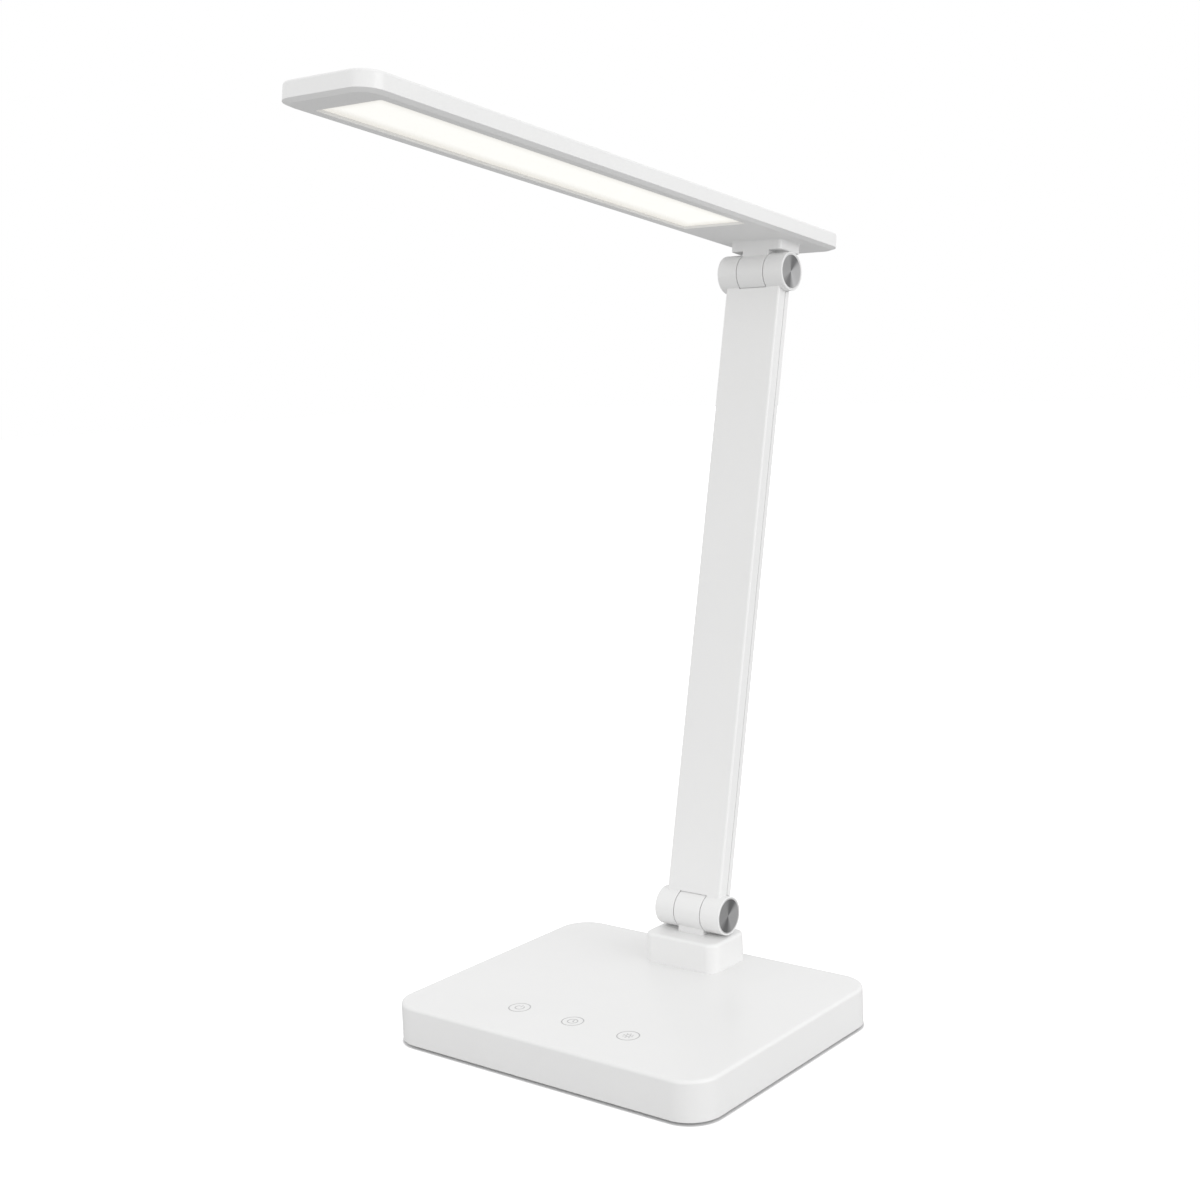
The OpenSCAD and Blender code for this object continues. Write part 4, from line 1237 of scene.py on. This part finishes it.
@dataclass
class Pedestal(Jointed):
    """Block, tongue and centre knuckle of the lower hinge, in one moulding."""

    base_top: float
    width: float = 38.0
    depth: float = 26.0
    height: float = 12.8
    radius: float = 5.0
    edge: float = 1.4
    middle_y: float = 47.0
    tongue: float = 11.0

    def build(self) -> None:
        """Makes the moulding."""
        plan = Plan(self.width, self.depth, self.radius, self.middle_y)
        top, e, axis = self.base_top + self.height, self.edge, self.places.lower.translation
        steps = [(4.0, self.base_top), (0.0, self.base_top)]
        steps += arc((e, top - e), e, 180, 90, EDGE_STEPS) + [(e + FLAT_STRIP, top), (e + 2.5, top)]
        block = Shape.loft(plan.rings(steps)).piece("pedestal_block")
        neck = self.barrel.tongue(self.tongue, axis.y, top - 2, axis.z)
        carve(block, UNMOVED, (Action.ADD, neck))
        carve(block, self.places.lower, *self.barrel.centre())
        self.dress(block, "white_satin", "pedestal")


@dataclass
class Arm(Jointed):
    """Flat arm: front shell with the outer knuckles, back cover and its screws."""

    body: ClassVar[Body] = Body.ARM
    width: float = 28.2
    front: float = -4.4
    thick: float = 8.8
    seam_at: float = 5.3
    seam_width: float = 0.4
    seam_depth: float = 0.6
    edge: float = 0.9
    wall: float = 1.6
    plug: float = 15.0
    end_gap: float = 0.3
    cover_gap: float = 0.2
    screw_in: float = 30.0
    screw_count: int = 4
    screw_length: float = 6.7
    sink: Pair = (2.34, 1.27)
    sink_depth: float = 1.08

    def __post_init__(self) -> None:
        """Works out the levels of seam, back and screws."""
        self.seam, self.back = self.front + self.seam_at, self.front + self.thick
        step = (self.places.arm_length - 2 * self.screw_in) / (self.screw_count - 1)
        self.screw_levels = [self.screw_in + i * step for i in range(self.screw_count)]

    def build(self) -> None:
        """Makes every piece of the arm."""
        self.shell()
        self.cover()
        out = Matrix.Translation((0, self.back, 0)) @ Matrix.Rotation(-QUARTER, 4, "X")
        points = [Vector((0, -level, 0)) for level in self.screw_levels]
        self.fasten("arm_screw_row", points, self.places.arm @ out, 11, self.screw_length,
                    "arm_screws")
        self.barrel.caps(self, self.places.arm, "lower")
        self.barrel.caps(self, self.places.arm_top, "upper")

    def both_ends(self, shape: Shape) -> Shape:
        """A shape at the lower and at the upper axis."""
        return shape.at((0, 0, 0), (0, 0, self.places.arm_length))

    def shell(self) -> None:
        """The front shell, its long front edges rounded, in one piece with four knuckles."""
        w, e, q, front, seam = self.width / 2, self.edge, SEAM_ROUND, self.front, self.seam
        outline = arc((-(w - e), front + e), e, 180, 270, EDGE_STEPS)
        outline += arc((w - e, front + e), e, 270, 360, EDGE_STEPS)
        outline += [(w, seam - q), (w - q, seam), (-(w - q), seam), (-w, seam - q)]
        length, inner, place = self.places.arm_length, w - self.wall, self.places.arm
        shell = Shape.prism(outline, 0, length).piece("arm_front_shell", place)
        hollow = Shape.block((-inner, front + self.wall, self.plug),
                             (inner, seam + 2, length - self.plug))
        start = self.barrel.ear_start
        slot = Shape.bar(-start, start, self.barrel.radius + self.end_gap)
        carve(shell, place, (Action.REMOVE, hollow), (Action.REMOVE, self.both_ends(slot)),
              (Action.ADD, self.both_ends(self.barrel.ears())),
              (Action.REMOVE, self.both_ends(self.barrel.ear_bores())))
        self.dress(shell, "white_satin", "arm_shell")

    def cover(self) -> None:
        """The back cover with a narrow neck behind the seam's groove."""
        w, e, q, seam, back = self.width / 2, self.edge, SEAM_ROUND, self.seam, self.back
        low, neck = seam + self.seam_width, w - self.seam_depth
        outline = [(-neck, seam), (neck, seam), (neck, low), (w - q, low), (w, low + q)]
        outline += arc((w - e, back - e), e, 0, 90, EDGE_STEPS)
        outline += arc((-(w - e), back - e), e, 90, 180, EDGE_STEPS)
        outline += [(-w, low + q), (-(w - q), low), (-neck, low)]
        place = self.places.arm
        cover = Shape.prism(outline, 0, self.places.arm_length).piece("arm_back_cover", place)
        ends = Shape.bar(-20, 20, self.barrel.radius + self.cover_gap)
        wide, narrow = self.sink
        sink = [(back + 1, wide), (back, wide), (back - self.sink_depth, narrow),
                (seam - 1, narrow)]
        sinks = sum((Shape.turned(sink, Axis.Y, SINK_STEPS, (0, 0, level))
                     for level in self.screw_levels), Shape())
        carve(cover, place, (Action.REMOVE, self.both_ends(ends)), (Action.REMOVE, sinks))
        self.dress(cover, "white_satin", "arm_cover")


@dataclass
class Head(Jointed):
    """Slim light bar: shell, bezel, opal sheet and the bracket of the upper hinge."""

    body: ClassVar[Body] = Body.HEAD
    width: float = 45.6
    front: float = -268.6
    rear: float = 33.0
    radius: float = 8.8
    thick: float = 7.3
    edge: float = 1.1
    band_high: float = 1.0
    band_wide: float = 2.6
    drop: float = 14.1
    wall: float = 1.6
    slip: float = 0.2
    plate: float = 1.6
    window: Pair = (31.8, 217.9)
    window_y: float = -145.95
    window_radius: float = 1.0
    ledge: float = 1.2
    border: float = 1.2
    sheet_thick: float = 1.2
    block: Pair = (26.6, 16.5)
    block_y: float = 3.75
    block_high: float = 4.6
    block_radius: float = 1.6
    block_edge: float = 0.5
    block_fillet: float = 1.0
    tongue: float = 8.98

    def __post_init__(self) -> None:
        """Works out the outlines."""
        length, middle = self.rear - self.front, (self.rear + self.front) / 2
        self.plan = Plan(self.width, length, self.radius, middle)
        self.opening = Plan(*self.window, self.window_radius, self.window_y)
        self.level = self.places.head @ Matrix.Translation((0, 0, self.drop))

    def build(self) -> None:
        """Makes every piece of the head."""
        self.shell()
        self.bezel()
        self.diffuser()
        self.bracket()

    def shell(self) -> None:
        """Top and side walls in one moulding."""
        e, low, high, wall = self.edge, self.band_high, self.thick, self.wall
        steps = [(e + 5, high), (e + FLAT_STRIP, high)]
        steps += arc((e, high - e), e, 90, 180, EDGE_STEPS)
        steps += [(0, low + 0.3), (0, low), (wall, low), (wall, high - wall - 0.5),
                  (wall + 0.5, high - wall)]
        shell = Shape.loft(self.plan.rings(steps)).piece("head_top_shell", self.level)
        self.dress(shell, "white_satin", "head_shell")

    def bezel(self) -> None:
        """Sloping band and flat underside with the window's opening."""
        low, wide, inside = self.band_high, self.band_wide, self.wall + self.slip
        recess, ledge, plate = self.border + self.slip, self.ledge, self.plate
        outer = self.plan.rings([(inside, low), (0.0, low), (0.06, low - 0.03),
                                 (wide - 0.15, 0.05), (wide + 0.1, 0.0), (wide + 0.5, 0.0)])
        inner = self.opening.rings([(-0.5, 0.0), (-0.12, 0.0), (-0.03, 0.04), (0.0, 0.13),
                                    (0.0, ledge), (-recess, ledge), (-recess, plate)])
        bezel = Shape.loft(outer + inner + self.plan.rings([(inside, plate)]), closed=True)
        self.dress(bezel.piece("head_bezel_frame", self.level), "white_satin", "head_bezel")

    def diffuser(self) -> None:
        """The glowing opal sheet that lies on the window's ledge."""
        low, high, out = self.ledge, self.ledge + self.sheet_thick, -self.border
        shape = Shape.loft(self.opening.rings([(4.0, low), (out, low), (out, high), (4.0, high)]))
        piece = shape.piece("opal_sheet", self.level)
        chart = piece.data.uv_layers.new(name="UVMap")
        back = metres(self.level).inverted()
        for loop in piece.data.loops:
            spot = (back @ piece.data.vertices[loop.vertex_index].co) / MM
            chart.data[loop.index].uv = (spot.x / self.window[0] + 0.5,
                                         (spot.y - self.window_y) / self.window[1] + 0.5)
        self.dress(piece, "diffuser", "diffuser")

    def bracket(self) -> None:
        """Block, tongue and centre knuckle of the upper hinge."""
        plan = Plan(*self.block, self.block_radius, self.block_y)
        low, q, f = self.drop - self.block_high, self.block_edge, self.block_fillet
        steps = [(q + 2, low), (q + 0.2, low)] + arc((q, low + q), q, 270, 180, FINE_STEPS)
        steps += arc((-f, self.drop - f), f, 0, 90) + [(3.0, self.drop)]
        place = self.places.head
        block = Shape.loft(plan.rings(steps)).piece("head_bracket_block", place)
        neck = self.barrel.tongue(self.tongue, 0.0, 0.0, low + 2)
        carve(block, place, (Action.ADD, neck), *self.barrel.centre())
        self.dress(block, "white_satin", "head_bracket")


# ---------------------------------------------------------------- studio


@dataclass(frozen=True)
class Lamp:
    """One large soft studio light, in metres and watts."""

    name: str
    spot: tuple[float, float, float]
    aim: tuple[float, float, float]
    size: float
    power: float

    def place(self) -> None:
        """Hangs the light."""
        data = bpy.data.lights.new(self.name, "AREA")
        data.shape, data.size, data.energy = "DISK", self.size, self.power
        obj = link(self.name, data)
        obj.location = self.spot
        ray = Vector(self.aim) - Vector(self.spot)
        obj.rotation_euler = ray.to_track_quat("-Z", "Y").to_euler()


@dataclass
class Studio:
    """Pale floor, white background, soft lights and the camera.

    The camera's distance and aim are in millimetres, and its clip and the floor's sizes in metres.
    """

    yaw_deg: float = 38.45
    pitch_deg: float = 8.14
    roll_deg: float = -2.31
    distance: float = 726.6
    aim_side: float = -6.67
    aim_up: float = 185.0
    focal_px: float = 1775.7
    image_px: float = 1200.0
    sensor: float = 36.0
    clip: Pair = (0.01, 50.0)
    fill: float = 0.95
    floor_reach: float = 6.0
    floor_tones: Pair = (0.82, 0.8)
    # The base's footprint and its soft edge, under which a contact shadow is painted into the floor's glow.
    painted_shadow_core: Pair = (0.066, 0.051)
    painted_shadow_round: float = 0.014
    painted_shadow_soft: Pair = (-0.0002, 0.001)
    bounce: Pair = (0.58, 0.47)
    bounce_reach: Pair = (0.12, 0.7)
    # Glow under the base's footprint: a painted contact shadow.
    painted_shadow_glow: float = 0.06
    glow_near: float = 0.56
    glow_far: float = 0.55
    glow_reach: Pair = (0.2, 0.9)
    lamps: tuple[Lamp, ...] = (
        Lamp("side_light", (2.0, 0.1, 0.5), (0.0, 0.0, 0.22), 1.6, 13.0),
        Lamp("front_light", (0.1, -1.9, 0.5), (0.0, 0.0, 0.25), 1.0, 4.2),
    )

    def build(self) -> None:
        """Sets the whole studio."""
        self.world()
        self.floor()
        for lamp in self.lamps:
            lamp.place()
        self.camera()
        bpy.context.scene.view_settings.view_transform = "Standard"

    def world(self) -> None:
        """White behind the lamp, and a softer white as a light."""
        world = bpy.data.worlds.new("studio")
        bpy.context.scene.world = world
        world.use_nodes = True
        nodes = Nodes(world.node_tree)
        seen = nodes.node("LightPath").outputs["Is Camera Ray"]
        level = nodes.node("MapRange", Value=seen, To_Min=self.fill, To_Max=1.0)
        back = nodes.node("Background", Color=WHITE, Strength=level.outputs["Result"])
        nodes.node("OutputWorld", Surface=back.outputs[0])

    def floor(self) -> None:
        """A pale table top whose diffuse part keeps the lamp's shadow and fades to white, with a contact shadow
        painted under the base's footprint, where its glow drops.
        """
        mesh = bpy.data.meshes.new("table_top")
        r = self.floor_reach
        mesh.from_pydata([(-r, -r, 0), (r, -r, 0), (r, r, 0), (-r, r, 0)], [], [(0, 1, 2, 3)])
        link("table_top", mesh)
        sheet = Sheet("table_white")
        spot = sheet.parts(sheet.coords["Object"])
        # How far a spot lies past the base's footprint: the mask of the painted contact shadow.
        past = [sheet.sum("SUBTRACT", sheet.sum("ABSOLUTE", spot[axis]), half)
                for axis, half in zip("XY", self.painted_shadow_core)]
        edge = sheet.span_of(*(sheet.sum("MAXIMUM", value, 0.0) for value in past))
        start, end = (self.painted_shadow_round + soft for soft in self.painted_shadow_soft)
        glow_with_painted_shadow = sheet.step(edge, start, end, self.painted_shadow_glow, self.glow_near)
        far = sheet.span_of(spot["X"], spot["Y"])
        seen = sheet.node("LightPath").outputs["Is Camera Ray"]
        pale = sheet.blend(sheet.noise(3.0), *((tone,) * 3 for tone in self.floor_tones))
        bounce = sheet.step(far, *self.bounce_reach, *self.bounce)
        matt = sheet.node("BsdfDiffuse", Color=sheet.blend(seen, bounce, pale))
        white = sheet.sum("ADD", glow_with_painted_shadow, sheet.step(far, *self.glow_reach, 0.0, self.glow_far))
        glow = sheet.node("Emission", Color=WHITE, Strength=sheet.sum("MULTIPLY", seen, white))
        both = sheet.node("AddShader")
        for socket, part in zip(both.inputs, (matt, glow)):
            sheet.feed(socket, part.outputs[0])
        sheet.feed(sheet.output, both.outputs[0])
        mesh.materials.append(sheet.material)

    def camera(self) -> None:
        """The photograph's point of view."""
        yaw, pitch, roll = (math.radians(a) for a in (self.yaw_deg, self.pitch_deg, self.roll_deg))
        ahead = Vector((-math.sin(yaw) * math.cos(pitch), math.cos(yaw) * math.cos(pitch),
                        -math.sin(pitch)))
        level = Vector((math.cos(yaw), math.sin(yaw), 0))
        upward = level.cross(ahead)
        right = level * math.cos(roll) + upward * math.sin(roll)
        up = upward * math.cos(roll) - level * math.sin(roll)
        aim = Vector((0, 0, self.aim_up)) + level * self.aim_side
        spot = (aim - ahead * self.distance) * MM
        data = bpy.data.cameras.new("photo_camera")
        data.sensor_width = self.sensor
        data.lens = self.focal_px / self.image_px * self.sensor
        data.clip_start, data.clip_end = self.clip
        obj = link("photo_camera", data)
        columns = (right, up, -ahead, spot)
        obj.matrix_world = Matrix([[v[i] for v in columns] for i in range(3)] + [[0, 0, 0, 1]])
        bpy.context.scene.camera = obj


def main() -> None:
    """Builds the studio and the lamp, and reports each piece."""
    logging.basicConfig(level=logging.INFO, format="%(name)s: %(message)s")
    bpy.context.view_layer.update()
    Studio().build()
    wardrobe, places, barrel = Wardrobe(), Places(), Barrel()
    base = Base(wardrobe)
    base.build()
    TouchRow(wardrobe, base.top).build()
    Pedestal(wardrobe, places, barrel, base.top).build()
    Arm(wardrobe, places, barrel).build()
    Head(wardrobe, places, barrel).build()
    wardrobe.dress_frame()


if __name__ == "__main__":
    main()
